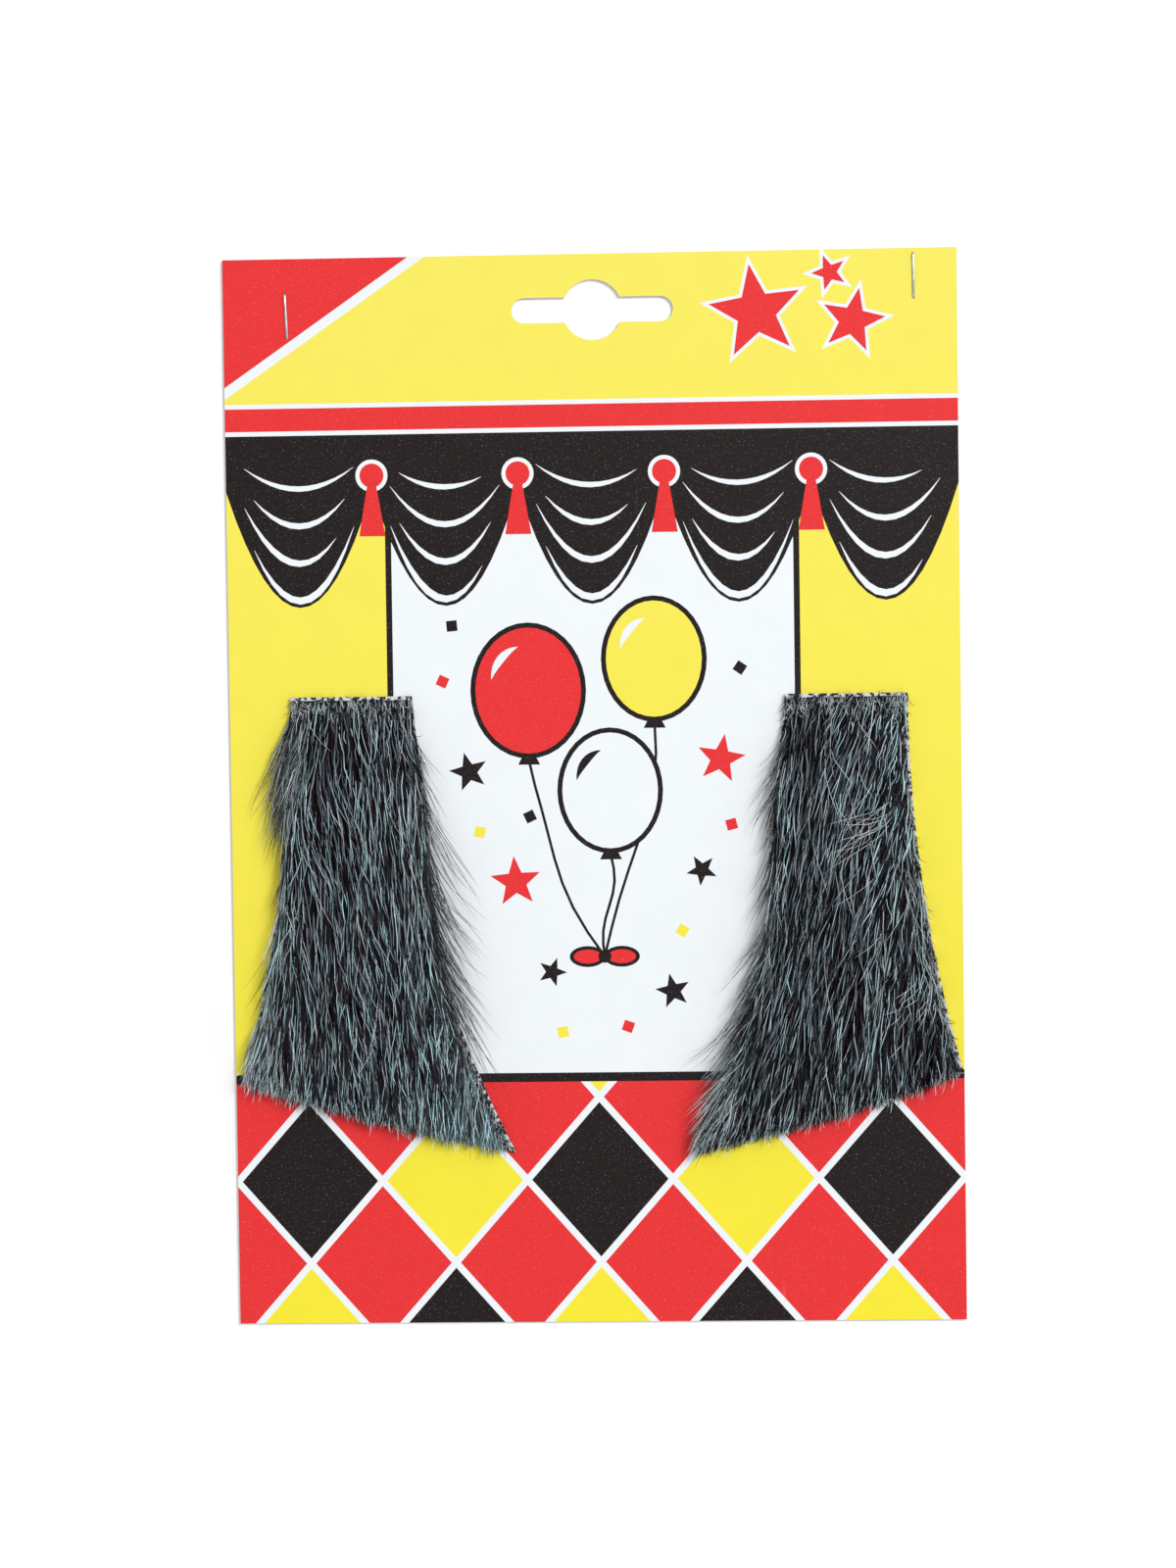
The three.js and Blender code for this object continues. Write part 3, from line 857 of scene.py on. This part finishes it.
def staple_material():
    """Bright drawn wire with fine streaks and a few dull patches."""
    material, shader = new_material("staple_wire", roughness=0.3, metallic=1.0)
    tree = material.node_tree
    place = add_node(tree, "ShaderNodeTexCoord").outputs["Object"]
    streaks = noise(tree, pulled_out(tree, place, 0.06), "wire_streaks")
    dull = remap(tree, noise(tree, place, "wire_patches"), 0.4, 0.7)
    feed(tree, mix_colour(tree, dull, WIRE_BRIGHT, WIRE_DULL), shader["Base Color"])
    feed(tree, remap(tree, streaks, 0.3, 0.7, 0.2, 0.42), shader["Roughness"])
    add_bump(tree, shader, streaks, 0.2, 0.01 * MM)
    return material


# Card and staples

def add_object(name, data):
    thing = bpy.data.objects.new(name, data)
    bpy.context.scene.collection.objects.link(thing)
    return thing


def mesh_object(name, vertices, faces, materials, face_slots=None, smooth=False):
    mesh = bpy.data.meshes.new(name)
    mesh.from_pydata([tuple(v) for v in vertices], [], [tuple(f) for f in faces])
    for material in materials:
        mesh.materials.append(material)
    if face_slots is not None:
        mesh.polygons.foreach_set("material_index", np.array(face_slots, np.int32))
    mesh.polygons.foreach_set("use_smooth", np.full(len(faces), smooth))
    mesh.update()
    return add_object(name, mesh)


def flat_map(piece, left, bottom, width, height):
    """A plain map seen from above, so that the print stays sharp when it is baked."""
    mesh = piece.data
    layer = mesh.uv_layers.new(name=MAP_NAME)
    corners = np.zeros(len(mesh.loops), np.int32)
    mesh.loops.foreach_get("vertex_index", corners)
    points = np.zeros(len(mesh.vertices) * 3, np.float32)
    mesh.vertices.foreach_get("co", points)
    points = points.reshape(-1, 3)[corners]
    spots = np.stack([(points[:, 0] - left) / width, (points[:, 1] - bottom) / height], 1)
    layer.data.foreach_set("uv", spots.astype(np.float32).ravel())


def printed_card(materials):
    """The card: its front is cut into the areas of the print, its back and edges are plain board."""
    layers = floor_layers() + backdrop_layers() + curtain_layers() + corner_layers()
    half_width, half_height = CARD_WIDTH / 2, CARD_HEIGHT / 2
    outlines = [rectangle(-half_width, -half_height, half_width, half_height), slot_outline()]
    whole, slot, first_layer = 0, 1, len(outlines)
    outlines += [outline for _, outline in layers]
    points, areas = [], []
    for outline in outlines:
        first = len(points)
        points += [Vector(p) for p in anticlockwise(outline)]
        areas.append(list(range(first, len(points))))
    inside_only, merge_gap = 1, 1e-4
    flat, _, cells, _, _, covers = delaunay_2d_cdt(points, [], areas, inside_only, merge_gap)
    front, front_slots = [], []
    for cell, cover in zip(cells, covers):
        if whole in cover and slot not in cover:
            front.append(list(cell))
            front_slots.append(layers[max(cover) - first_layer][0])
    used = sorted({corner for cell in front for corner in cell})
    renumber = {corner: i for i, corner in enumerate(used)}
    front = [[renumber[corner] for corner in cell] for cell in front]
    count = len(used)
    top = [(flat[c][0] * MM, flat[c][1] * MM, CARD_THICKNESS * MM) for c in used]
    low = [(x, y, 0.0) for x, y, _ in top]
    back = [[corner + count for corner in cell[::-1]] for cell in front]
    sides = {}
    for cell in front:
        for a, b in zip(cell, cell[1:] + cell[:1]):
            if (b, a) in sides:
                del sides[(b, a)]
            else:
                sides[(a, b)] = [b, a, a + count, b + count]
    walls = list(sides.values())
    slots = front_slots + [BACK] * len(back) + [EDGE] * len(walls)
    card = mesh_object("printed_card", top + low, front + back + walls, materials, slots)
    flat_map(card, -half_width * MM, -half_height * MM, CARD_WIDTH * MM, CARD_HEIGHT * MM)
    return card


def staple_path():
    """The wire's middle line in the staple's own plane: along its length, and height."""
    half_wire = STAPLE["wire_thickness"] / 2
    end = STAPLE["length"] / 2 - half_wire
    crown = CARD_THICKNESS + half_wire
    back = half_wire - STAPLE["sunk"]
    bend, foot_bend = STAPLE["bend"], STAPLE["foot_bend"]
    corner = [(end - bend + bend * math.sin(a), crown - bend + bend * math.cos(a))
              for a in np.radians([0, 22.5, 45, 67.5, 90])]
    foot = [(end, back + foot_bend), (end - foot_bend, back)]
    right = [(0, crown)] + corner + foot + [(end - STAPLE["clinch"], back)]
    return np.array([(-x, z) for x, z in right[:0:-1]] + right)


def rounded(value):
    """A cosine or sine pushed outward, so that a circle becomes a bar with round corners."""
    return math.copysign(abs(value) ** STAPLE["wire_corners"], value)


def staple_piece(place, material):
    """Flat-sided wire with round corners, swept along its bent path."""
    path = staple_path()
    along = unit(np.gradient(path, axis=0))
    outward = np.stack([-along[:, 1], along[:, 0]], 1)
    half_thick, half_wide = STAPLE["wire_thickness"] / 2, STAPLE["wire_width"] / 2
    sides = STAPLE["wire_sides"]
    angles = [2 * math.pi * (i + 0.5) / sides for i in range(sides)]
    section = [(rounded(math.cos(a)) * half_wide, rounded(math.sin(a)) * half_thick) for a in angles]
    turn = math.radians(place["turn"])
    vertices, faces = [], []
    for point, normal in zip(path, outward):
        for sideways, out in section:
            length, height = point + normal * out
            x = place["x"] + sideways * math.cos(turn) - length * math.sin(turn)
            y = place["y"] + sideways * math.sin(turn) + length * math.cos(turn)
            vertices.append((x * MM, y * MM, height * MM))
    for ring in range(len(path) - 1):
        for i in range(sides):
            a, b = ring * sides + i, ring * sides + (i + 1) % sides
            faces.append((a, a + sides, b + sides, b))
    end_ring = range(len(vertices) - sides, len(vertices))
    faces += [tuple(range(sides)), tuple(reversed(end_ring))]
    return mesh_object(place["name"] + "_wire", vertices, faces, [material], smooth=True)


# Places on the fur cloth. The share u runs from the outer to the cheek edge, fall runs downward.

def cloth_edges(fall):
    """Across of the outer edge and the cheek edge at a share of the way down."""
    outer = -(CLOTH["top_half_width"] + CLOTH["outer_flare"] * fall ** CLOTH["outer_flare_power"])
    past_bend = np.maximum(0, (fall - CLOTH["cheek_bend"]) / (1 - CLOTH["cheek_bend"]))
    kick = CLOTH["cheek_kick"] * past_bend ** CLOTH["cheek_kick_power"]
    return outer, CLOTH["top_half_width"] + CLOTH["cheek_slope"] * fall + kick


def cloth_width(fall):
    outer, cheek = cloth_edges(fall)
    return cheek - outer


def cloth_column(u):
    """Length from the top edge to the hem."""
    slanted = CLOTH["outer_drop"] + (CLOTH["cheek_drop"] - CLOTH["outer_drop"]) * u
    return slanted + CLOTH["hem_bulge"] * 4 * u * (1 - u)


def on_cloth(u, fall):
    """Across and drop of places given as shares."""
    outer, cheek = cloth_edges(fall)
    return outer + (cheek - outer) * u, cloth_column(u) * fall


def cloth_shares(across, drop):
    """The shares u and fall of a place, found by a few rounds of guessing."""
    u = np.full(np.shape(across), 0.5)
    for _ in range(GUESS_ROUNDS):
        fall = np.maximum(drop, 0) / cloth_column(np.clip(u, *SHAPE_LIMITS["u"]))
        outer, cheek = cloth_edges(np.clip(fall, *SHAPE_LIMITS["fall"]))
        u = (across - outer) / (cheek - outer)
    return u, fall


def edge_places(edge, along, inset):
    """Places as shares: a share along an edge, and millimetres in from it."""
    if edge == "top":
        return along, inset / cloth_column(along)
    if edge == "hem":
        return along, 1 - inset / cloth_column(along)
    u = inset / cloth_width(along)
    return (u if edge == "outer" else 1 - u), along


def cut_edge_distance(sideburn, u, fall):
    """Millimetres from places on the cloth to the nearest cut edge."""
    nearest = np.full(np.shape(u), np.inf)
    for row in sideburn["cut_edges"]:
        if row["edge"] == "top":
            distance, beside = cloth_column(u) * fall, np.full(np.shape(u), True)
        else:
            distance = (u if row["edge"] == "outer" else 1 - u) * cloth_width(fall)
            beside = (fall >= row["from"]) & (fall <= row["to"])
        nearest = np.where(beside, np.minimum(nearest, distance), nearest)
    return nearest


def to_frame(sideburn, across, drop, height):
    """Places on a sideburn as points of the frame, in metres."""
    x = sideburn["x"] + sideburn["mirror"] * across
    y = sideburn["y"] - drop
    return np.stack([x, y, height + 0 * x], -1) * MM


def waves(rows, across, drop):
    """The sum of a table of waves."""
    turns = [row["across"] * across + row["drop"] * drop + row["start"] for row in rows]
    return sum(row["height"] * np.sin(turn) for row, turn in zip(rows, turns))


def lean_at(nap, u, fall):
    """The nap's lean in degrees, read from its table."""
    rows = [row["fall"] for row in nap]
    places = list(NAP_PLACES.values())
    leans = [np.interp(fall, rows, [row[label] for row in nap]) for label in NAP_PLACES]
    inner = np.clip(u, 0, 1)
    lean = leans[0]
    for i in range(len(places) - 1):
        share = np.clip((inner - places[i]) / (places[i + 1] - places[i]), 0, 1)
        lean = lean + (leans[i + 1] - leans[i]) * share
    return lean


def pile_height(fall):
    return np.interp(fall, PILE_FALL, PILE_HEIGHT)


# Hairs

def scatter_roots(rng, count):
    """Evenly spread places on the cloth inside its rim, kept from six times as many tries."""
    tries = 6 * count
    u, fall = rng.random(tries), rng.random(tries)
    size = cloth_width(fall) * cloth_column(u)
    kept = np.flatnonzero(rng.random(tries) * size.max() < size)[:count]
    return RIM_U + (1 - 2 * RIM_U) * u[kept], RIM_FALL + (1 - RIM_FALL) * fall[kept]


def keep_apart(u, fall, gap):
    """The places that are left when each keeps its gap from those before it."""
    spots = np.stack(on_cloth(u, fall), 1) / (gap, GAP_ALONG * gap)
    kept = [0]
    for i in range(1, len(spots)):
        if np.min(np.sum((spots[kept] - spots[i]) ** 2, 1)) > 1:
            kept.append(i)
    return u[kept], fall[kept]


def hair_paths(sideburn, u, fall, length, lift, lean_offset, curl):
    """Middle lines of hairs from their roots along the nap: across, drop and height at even steps."""
    across, drop = on_cloth(u, fall)
    step = length * PATH_REACH / (PATH_STEPS - 1)
    line = np.zeros((len(u), PATH_STEPS, 3))
    for i in range(PATH_STEPS):
        share = i / (PATH_STEPS - 1) * PATH_REACH
        here_u, here_fall = cloth_shares(across, drop)
        rise = lift * (RISE["quick"] * (1 - np.exp(-RISE["rate"] * share)) + RISE["slow"] * share)
        past_edge = np.maximum(0, np.maximum(-here_u, here_u - 1)) * DROOP["width"]
        droop = 1 / (1 + DROOP["rate"] * past_edge)
        height = CLOTH_TOP - ROOT_DEPTH + (rise + ROOT_DEPTH) * droop
        line[:, i] = np.stack([across, drop, height], 1)
        spread = np.minimum(1, LEAN_SET["first"] + LEAN_SET["rate"] * share)
        lean = lean_at(sideburn["nap"], here_u, here_fall) + waves(NAP_EDDIES, across, drop)
        lean = lean + lean_offset * spread + curl * share
        across = across + step * np.sin(np.radians(lean))
        drop = drop + step * np.cos(np.radians(lean))
    return line


def ragged_hem(sideburn, line):
    """How far past the hem each hair is left, in millimetres: longer and shorter by turns along it."""
    across, drop = line[:, -1, 0], line[:, -1, 1]
    u, _ = cloth_shares(across, drop)
    ends = sideburn["past_hem"]
    return np.interp(u, [0, 1], [ends["outer"], ends["cheek"]]) + waves(HEM_CUTS, across, drop)


def cut_at_hem(line, past):
    """How much of each path the scissors leave, in path steps."""
    u, fall = cloth_shares(line[..., 0], line[..., 1])
    past_cheek = np.maximum(0, u - 1) * cloth_width(1.0)
    over = (fall - 1) * cloth_column(0.5) + CORNER_CUT * past_cheek - past[:, None]
    beyond = over > 0
    first = np.where(beyond.any(1), beyond.argmax(1), PATH_STEPS - 1)
    rows = np.arange(len(line))
    before = np.maximum(first - 1, 0)
    gap = over[rows, first] - over[rows, before]
    least = 1e-6
    part = np.where(gap > least, -over[rows, before] / np.maximum(gap, least), 1)
    return np.where(beyond.any(1), before + np.clip(part, 0, 1), PATH_STEPS - 1.0)


def along_paths(line, steps):
    """Points of the paths at fractional steps, one row of steps for each path."""
    steps = np.clip(steps, 0, PATH_END)
    low = steps.astype(int)
    part = (steps - low)[..., None]
    rows = np.arange(len(line))[:, None]
    return line[rows, low] * (1 - part) + line[rows, low + 1] * part


def hair_points(rng, line, reach, look):
    """Points on each hair at its stations, with a gentle wave aside and dips of its own."""
    stations = HAIR_PROFILES[look["profile"]]["stations"]
    points = along_paths(line, stations * reach[:, None])
    count = len(line)
    free = np.minimum(1, WAVES_SET * stations)
    turns, start = rng.uniform(*HAIR_WAVES, (count, 1)), rng.random((count, 1))
    points[..., 0] += look["wander"] * np.sin(2 * math.pi * (turns * stations + start)) * free
    height = points[..., 2] + rng.normal(0, look["dive"], points.shape[:2]) * free
    points[..., 2] = np.maximum(height, CARD_THICKNESS + OVER_CARD)
    return points


def hair_faces(stations, rings):
    """One hair's faces: their corners, and each corner's side and share of the length for the map."""
    faces = []
    for ring in range(rings - 1):
        low, high = stations[ring], stations[ring + 1]
        for side in range(HAIR_SIDES):
            a, b = ring * HAIR_SIDES + side, ring * HAIR_SIDES + (side + 1) % HAIR_SIDES
            spots = ((side, low), (side + 1, low), (side + 1, high), (side, high))
            faces.append(((a, b, b + HAIR_SIDES, a + HAIR_SIDES), spots))
    faces.append(((2, 1, 0), ((2, 0.0), (1, 0.0), (0, ROOT_MAP_HEIGHT))))
    last, tip = (rings - 1) * HAIR_SIDES, rings * HAIR_SIDES
    for side in range(HAIR_SIDES):
        spots = ((side, stations[-2]), (side + 1, stations[-2]), (side + 0.5, 1.0))
        faces.append(((last + side, last + (side + 1) % HAIR_SIDES, tip), spots))
    return faces


def hair_piece(rng, sideburn, look, points, tone, material):
    """Closed three-sided hairs as one mesh: rings and a tip, with the tone in the map."""
    profile = HAIR_PROFILES[look["profile"]]
    count, rings = len(points), len(profile["taper"])
    radius = rng.uniform(*look["radius"], count)
    line = to_frame(sideburn, points[..., 0], points[..., 1], points[..., 2])
    along = unit(np.gradient(line, axis=1))
    aside = unit(np.cross(along, (0.0, 0.0, 1.0)))
    above = np.cross(aside, along)
    ring_radius = (radius[:, None] * profile["taper"] * MM)[..., None]
    corners_each = rings * HAIR_SIDES + 1
    vertices = np.zeros((count, corners_each, 3))
    for side in range(HAIR_SIDES):
        angle = math.radians(profile["ridge"] + 360 / HAIR_SIDES * side)
        out = aside[:, :rings] * math.cos(angle) + above[:, :rings] * math.sin(angle)
        vertices[:, side:-1:HAIR_SIDES] = line[:, :rings] + out * ring_radius
    vertices[:, -1] = line[:, -1]
    faces = hair_faces(profile["stations"], rings)
    corners = np.concatenate([face for face, _ in faces])
    spots = np.concatenate([face_spots for _, face_spots in faces])
    sizes = np.tile([len(face) for face, _ in faces], count)
    loops = (corners + np.arange(count)[:, None] * corners_each).ravel()
    name = f"fur_{sideburn['name']}_{look['name']}"
    mesh = bpy.data.meshes.new(name)
    mesh.vertices.add(count * corners_each)
    mesh.vertices.foreach_set("co", vertices.astype(np.float32).ravel())
    mesh.loops.add(len(loops))
    mesh.loops.foreach_set("vertex_index", loops.astype(np.int32))
    mesh.polygons.add(len(sizes))
    mesh.polygons.foreach_set("loop_start", (np.cumsum(sizes) - sizes).astype(np.int32))
    mesh.polygons.foreach_set("use_smooth", np.ones(len(sizes), bool))
    layer = mesh.uv_layers.new(name=MAP_NAME)
    tone_map = HAIR_MAP["tone_start"] + HAIR_MAP["tone_share"] * tone[:, None]
    across_map = tone_map + HAIR_MAP["side"] * spots[:, 0]
    up_map = np.broadcast_to(HAIR_MAP["up_start"] + HAIR_MAP["up_share"] * spots[:, 1], across_map.shape)
    layer.data.foreach_set("uv", np.stack([across_map, up_map], -1).astype(np.float32).ravel())
    mesh.materials.append(material)
    mesh.update(calc_edges=True)
    mesh.validate()
    return add_object(name, mesh)


def pick_tones(rng, count, tones):
    """A tone for each of some tufts, from a table of shares and ranges."""
    limits = np.cumsum([row["share"] for row in tones])
    chosen = np.searchsorted(limits[:-1], rng.random(count) * limits[-1])
    low = np.array([row["low"] for row in tones])[chosen]
    high = np.array([row["high"] for row in tones])[chosen]
    return rng.uniform(low, high)


def tint_at(sideburn, u, fall):
    """How much paler the hairs rooted at some places are, in tone."""
    paler = np.zeros(np.shape(u))
    for row in sideburn["tints"]:
        away = ((u - row["u"]) / row["u_reach"]) ** 2 + ((fall - row["fall"]) / row["fall_reach"]) ** 2
        paler = paler + row["paler"] * np.exp(-away)
    return paler


def tufted_hair(rng, sideburn, coat, material):
    """One coat of the pile: tufts of a few hairs, each tuft with its own tone."""
    u, fall = scatter_roots(rng, coat["tufts"])
    if coat["gap"]:
        u, fall = keep_apart(u, fall, coat["gap"])
    tufts = len(u)
    tuft_tone = pick_tones(rng, tufts, coat["tones"]) + tint_at(sideburn, u, fall)
    lift = pile_height(fall) * rng.uniform(*coat["lift"], tufts)
    cut_share = rng.uniform(CUT_EDGE_LEAST, 1, tufts)
    full_share = rng.uniform(*COAT_SPREAD["tuft_length"], tufts)
    near_edge = cut_edge_distance(sideburn, u, fall) < CUT_EDGE_REACH
    length_share = np.where(near_edge, cut_share, full_share)
    lift = lift * np.minimum(1, SHORT_LIFT + length_share)
    lean = rng.normal(0, coat["lean_spread"], tufts)
    curl = rng.normal(0, COAT_SPREAD["curl"], tufts)
    tuft_line = hair_paths(sideburn, u, fall, coat["length"] * length_share, lift, lean, curl)
    owner = np.repeat(np.arange(tufts), coat["hairs"])
    line, count = tuft_line[owner], len(owner)
    cut = cut_at_hem(line, ragged_hem(sideburn, line) + rng.normal(0, COAT_SPREAD["hem"], count))
    full = FULL_REACH * rng.uniform(*COAT_SPREAD["hair_length"], count)
    points = hair_points(rng, line, np.minimum(cut, full), coat)
    stations = HAIR_PROFILES[coat["profile"]]["stations"]
    points[..., :2] += rng.normal(0, coat["root_spread"], (count, 1, 2))
    points[..., 0] += rng.normal(0, coat["fan"], (count, 1)) * stations ** 2
    tone = np.clip(tuft_tone[owner] + rng.normal(0, COAT_SPREAD["tone"], count), 0, 1)
    return hair_piece(rng, sideburn, coat, points, tone, material)


def single_points(rng, sideburn, look, u, fall, length, lift, lean):
    """Points of hairs that stand alone, cut at the hem."""
    line = hair_paths(sideburn, u, fall, length, lift, lean, rng.normal(0, look["curl"], len(u)))
    past = ragged_hem(sideburn, line)
    if look["uncut"]:
        past = past + np.abs(rng.normal(0, look["uncut"], len(u)))
    return hair_points(rng, line, np.minimum(cut_at_hem(line, past), FULL_REACH), look)


def wisp_hair(rng, sideburn, material):
    """Loose hairs that splay past the edges."""
    found = []
    for row in sideburn["wisps"]:
        count = row["count"]
        inset = np.abs(rng.normal(0, WISPS["inset"], count))
        u, fall = edge_places(row["edge"], rng.uniform(row["from"], row["to"], count), inset)
        lean = row["lean"] * rng.uniform(*WISPS["lean_share"], count) - lean_at(sideburn["nap"], u, fall)
        length = row["length"] * rng.uniform(*WISPS["length_share"], count)
        tone = np.clip(row["tone"] + rng.uniform(*WISPS["tone_share"], count), 0, 1)
        found.append((u, fall, length, lean, tone))
    u, fall, length, lean, tone = np.concatenate(found, 1)
    lift = pile_height(fall) * rng.uniform(*WISPS["lift"], len(u))
    points = single_points(rng, sideburn, WISPS, u, fall, length, lift, lean)
    return hair_piece(rng, sideburn, WISPS, points, tone, material)


def stray_hair(rng, sideburn, material):
    """Single pale fibres that lie on the pile across its nap."""
    found = []
    for row in sideburn["strays"]:
        count = row["count"]
        u = np.clip(row["u"] + row["spread"] * rng.normal(0, 1, count), *STRAYS["inside_u"])
        fall = np.clip(row["fall"] + row["spread"] * rng.normal(0, 1, count), *STRAYS["inside_fall"])
        lean = rng.normal(row["lean"], row["splay"], count) - lean_at(sideburn["nap"], u, fall)
        length = row["length"] * rng.uniform(*STRAYS["length_share"], count)
        found.append((u, fall, length, lean))
    u, fall, length, lean = np.concatenate(found, 1)
    lift = pile_height(fall) * rng.uniform(*STRAYS["lift"], len(u))
    points = single_points(rng, sideburn, STRAYS, u, fall, length, lift, lean)
    tone = rng.uniform(*STRAYS["tone"], len(u))
    return hair_piece(rng, sideburn, STRAYS, points, tone, material)


def stubble_hair(rng, sideburn, material):
    """Short hairs along the cut edges, where no hair from above covers the roots."""
    places = []
    for row in sideburn["cut_edges"]:
        along = rng.uniform(row["from"], row["to"], row["count"])
        inset = STUBBLE["inset"] + STUBBLE["band"] * rng.random(row["count"]) ** STUBBLE["band_power"]
        places.append(edge_places(row["edge"], along, inset))
    u, fall = np.concatenate(places, 1)
    count = len(u)
    lean = rng.normal(0, STUBBLE["lean_spread"], count)
    length = rng.uniform(*STUBBLE["length"], count)
    lift = rng.uniform(*STUBBLE["lift"], count)
    points = single_points(rng, sideburn, STUBBLE, u, fall, length, lift, lean)
    tone = pick_tones(rng, count, STUBBLE["tones"])
    return hair_piece(rng, sideburn, STUBBLE, points, tone, material)


def cloth_piece(sideburn, materials):
    """The backing cloth, a cut sheet with a bare rim round the roots of the pile, and its flat area."""
    us = np.concatenate([[0], np.linspace(RIM_U, 1 - RIM_U, CLOTH_LINES["u"]), [1]])
    falls = np.concatenate([[0], np.linspace(RIM_FALL, 1 - RIM_FALL, CLOTH_LINES["fall"]), [1]])
    columns, rows = len(us), len(falls)
    u_grid, fall_grid = np.meshgrid(us, falls)
    across, drop = on_cloth(u_grid, fall_grid)
    top_height = CLOTH_TOP + waves(CLOTH_RIPPLE, across, drop)
    top = to_frame(sideburn, across, drop, top_height).reshape(-1, 3)
    low = to_frame(sideburn, across, drop, CLOTH["bottom"]).reshape(-1, 3)
    count = len(top)
    rim, base = 0, 1
    faces, slots = [], []
    for row in range(rows - 1):
        for column in range(columns - 1):
            a = row * columns + column
            cell = [a, a + columns, a + columns + 1, a + 1]
            # The hem row keeps the dark base: partly painted shade along the hem, partly dark roots.
            bare = row == 0 or column in (0, columns - 2)
            faces += [cell, [corner + count for corner in cell[::-1]]]
            slots += [rim if bare else base, rim]
    border = [(0, c) for c in range(columns)]
    border += [(r, columns - 1) for r in range(1, rows)]
    border += [(rows - 1, c) for c in range(columns - 2, -1, -1)]
    border += [(r, 0) for r in range(rows - 2, 0, -1)]
    ring = [r * columns + c for r, c in border]
    for a, b in zip(ring, ring[1:] + ring[:1]):
        faces.append([a, b, b + count, a + count])
        slots.append(rim)
    if sideburn["mirror"] < 0:
        faces = [face[::-1] for face in faces]
    name = f"fur_cloth_{sideburn['name']}"
    piece = mesh_object(name, np.concatenate([top, low]), faces, materials, slots)
    return piece, np.mean(cloth_width(fall_grid) * cloth_column(u_grid)) * MM * MM


# Camera, floor and light

def camera_over_card():
    lens = bpy.data.cameras.new("camera")
    lens.lens = CAMERA["lens"]
    lens.sensor_width = CAMERA["sensor"]
    camera = add_object("camera", lens)
    camera.location = CAMERA["place"]
    camera.rotation_euler = [math.radians(a) for a in CAMERA["turn"]]
    bpy.context.scene.camera = camera


def pale_floor():
    material, shader = new_material("pale_floor", roughness=0.9, specular=0.1)
    shader["Base Color"].default_value = FLOOR["colour"]
    reach = FLOOR["reach"]
    corners = [(x, y, FLOOR["height"]) for x, y in rectangle(-reach, -reach, reach, reach)]
    floor = mesh_object("floor", corners, [(0, 1, 2, 3)], [material])


def studio_light():
    """A round soft light that looks at the card, and an even white sky."""
    light = bpy.data.lights.new("key_light", "AREA")
    light.shape = "DISK"
    light.size = KEY_LIGHT["size"]
    light.energy = KEY_LIGHT["power"]
    lamp = add_object("key_light", light)
    lamp.location = KEY_LIGHT["place"]
    lamp.rotation_euler = (-Vector(KEY_LIGHT["place"])).to_track_quat("-Z", "Y").to_euler()
    world = bpy.data.worlds.new("studio")
    world.use_nodes = True
    sky = world.node_tree.nodes["Background"].inputs
    sky["Color"].default_value = (1, 1, 1, 1)
    sky["Strength"].default_value = SKY_STRENGTH
    bpy.context.scene.world = world
    bpy.context.scene.view_settings.view_transform = "Standard"


camera_over_card()
pale_floor()
studio_light()

# The card and its staples
print_surface = print_surface_group()
card_looks = [
    surface_material(name, print_surface, values, **CARD_FINISH)
    for name, values in CARD_MATERIALS.items()
]
card = printed_card(card_looks)
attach(card, "root")
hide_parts("display_card")

wire = staple_material()
for place in STAPLE_PLACES:
    staple = staple_piece(place, wire)
    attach(staple, "root")
    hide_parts(place["name"])

# The sideburns
fibre_tone = fibre_tone_group()
cloth_knit = cloth_knit_group()
fibres = {
    name: surface_material(f"{name}_fibre", fibre_tone, values, **FIBRE_FINISH)
    for name, values in FIBRES.items()
}
cloth_looks = [
    surface_material(name, cloth_knit, values, **CLOTH_FINISH)
    for name, values in CLOTH_MATERIALS.items()
]
for index, sideburn in enumerate(SIDEBURNS):
    rng = np.random.default_rng(SEED + index)
    cloth, flat_area = cloth_piece(sideburn, cloth_looks)
    fur = [tufted_hair(rng, sideburn, coat, fibres[coat["name"]]) for coat in COATS]
    fur.append(wisp_hair(rng, sideburn, fibres["loose"]))
    fur.append(stray_hair(rng, sideburn, fibres["loose"]))
    fur.append(stubble_hair(rng, sideburn, fibres["loose"]))
    for piece in [cloth, *fur]:
        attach(piece, "root")
        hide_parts(sideburn["node"])
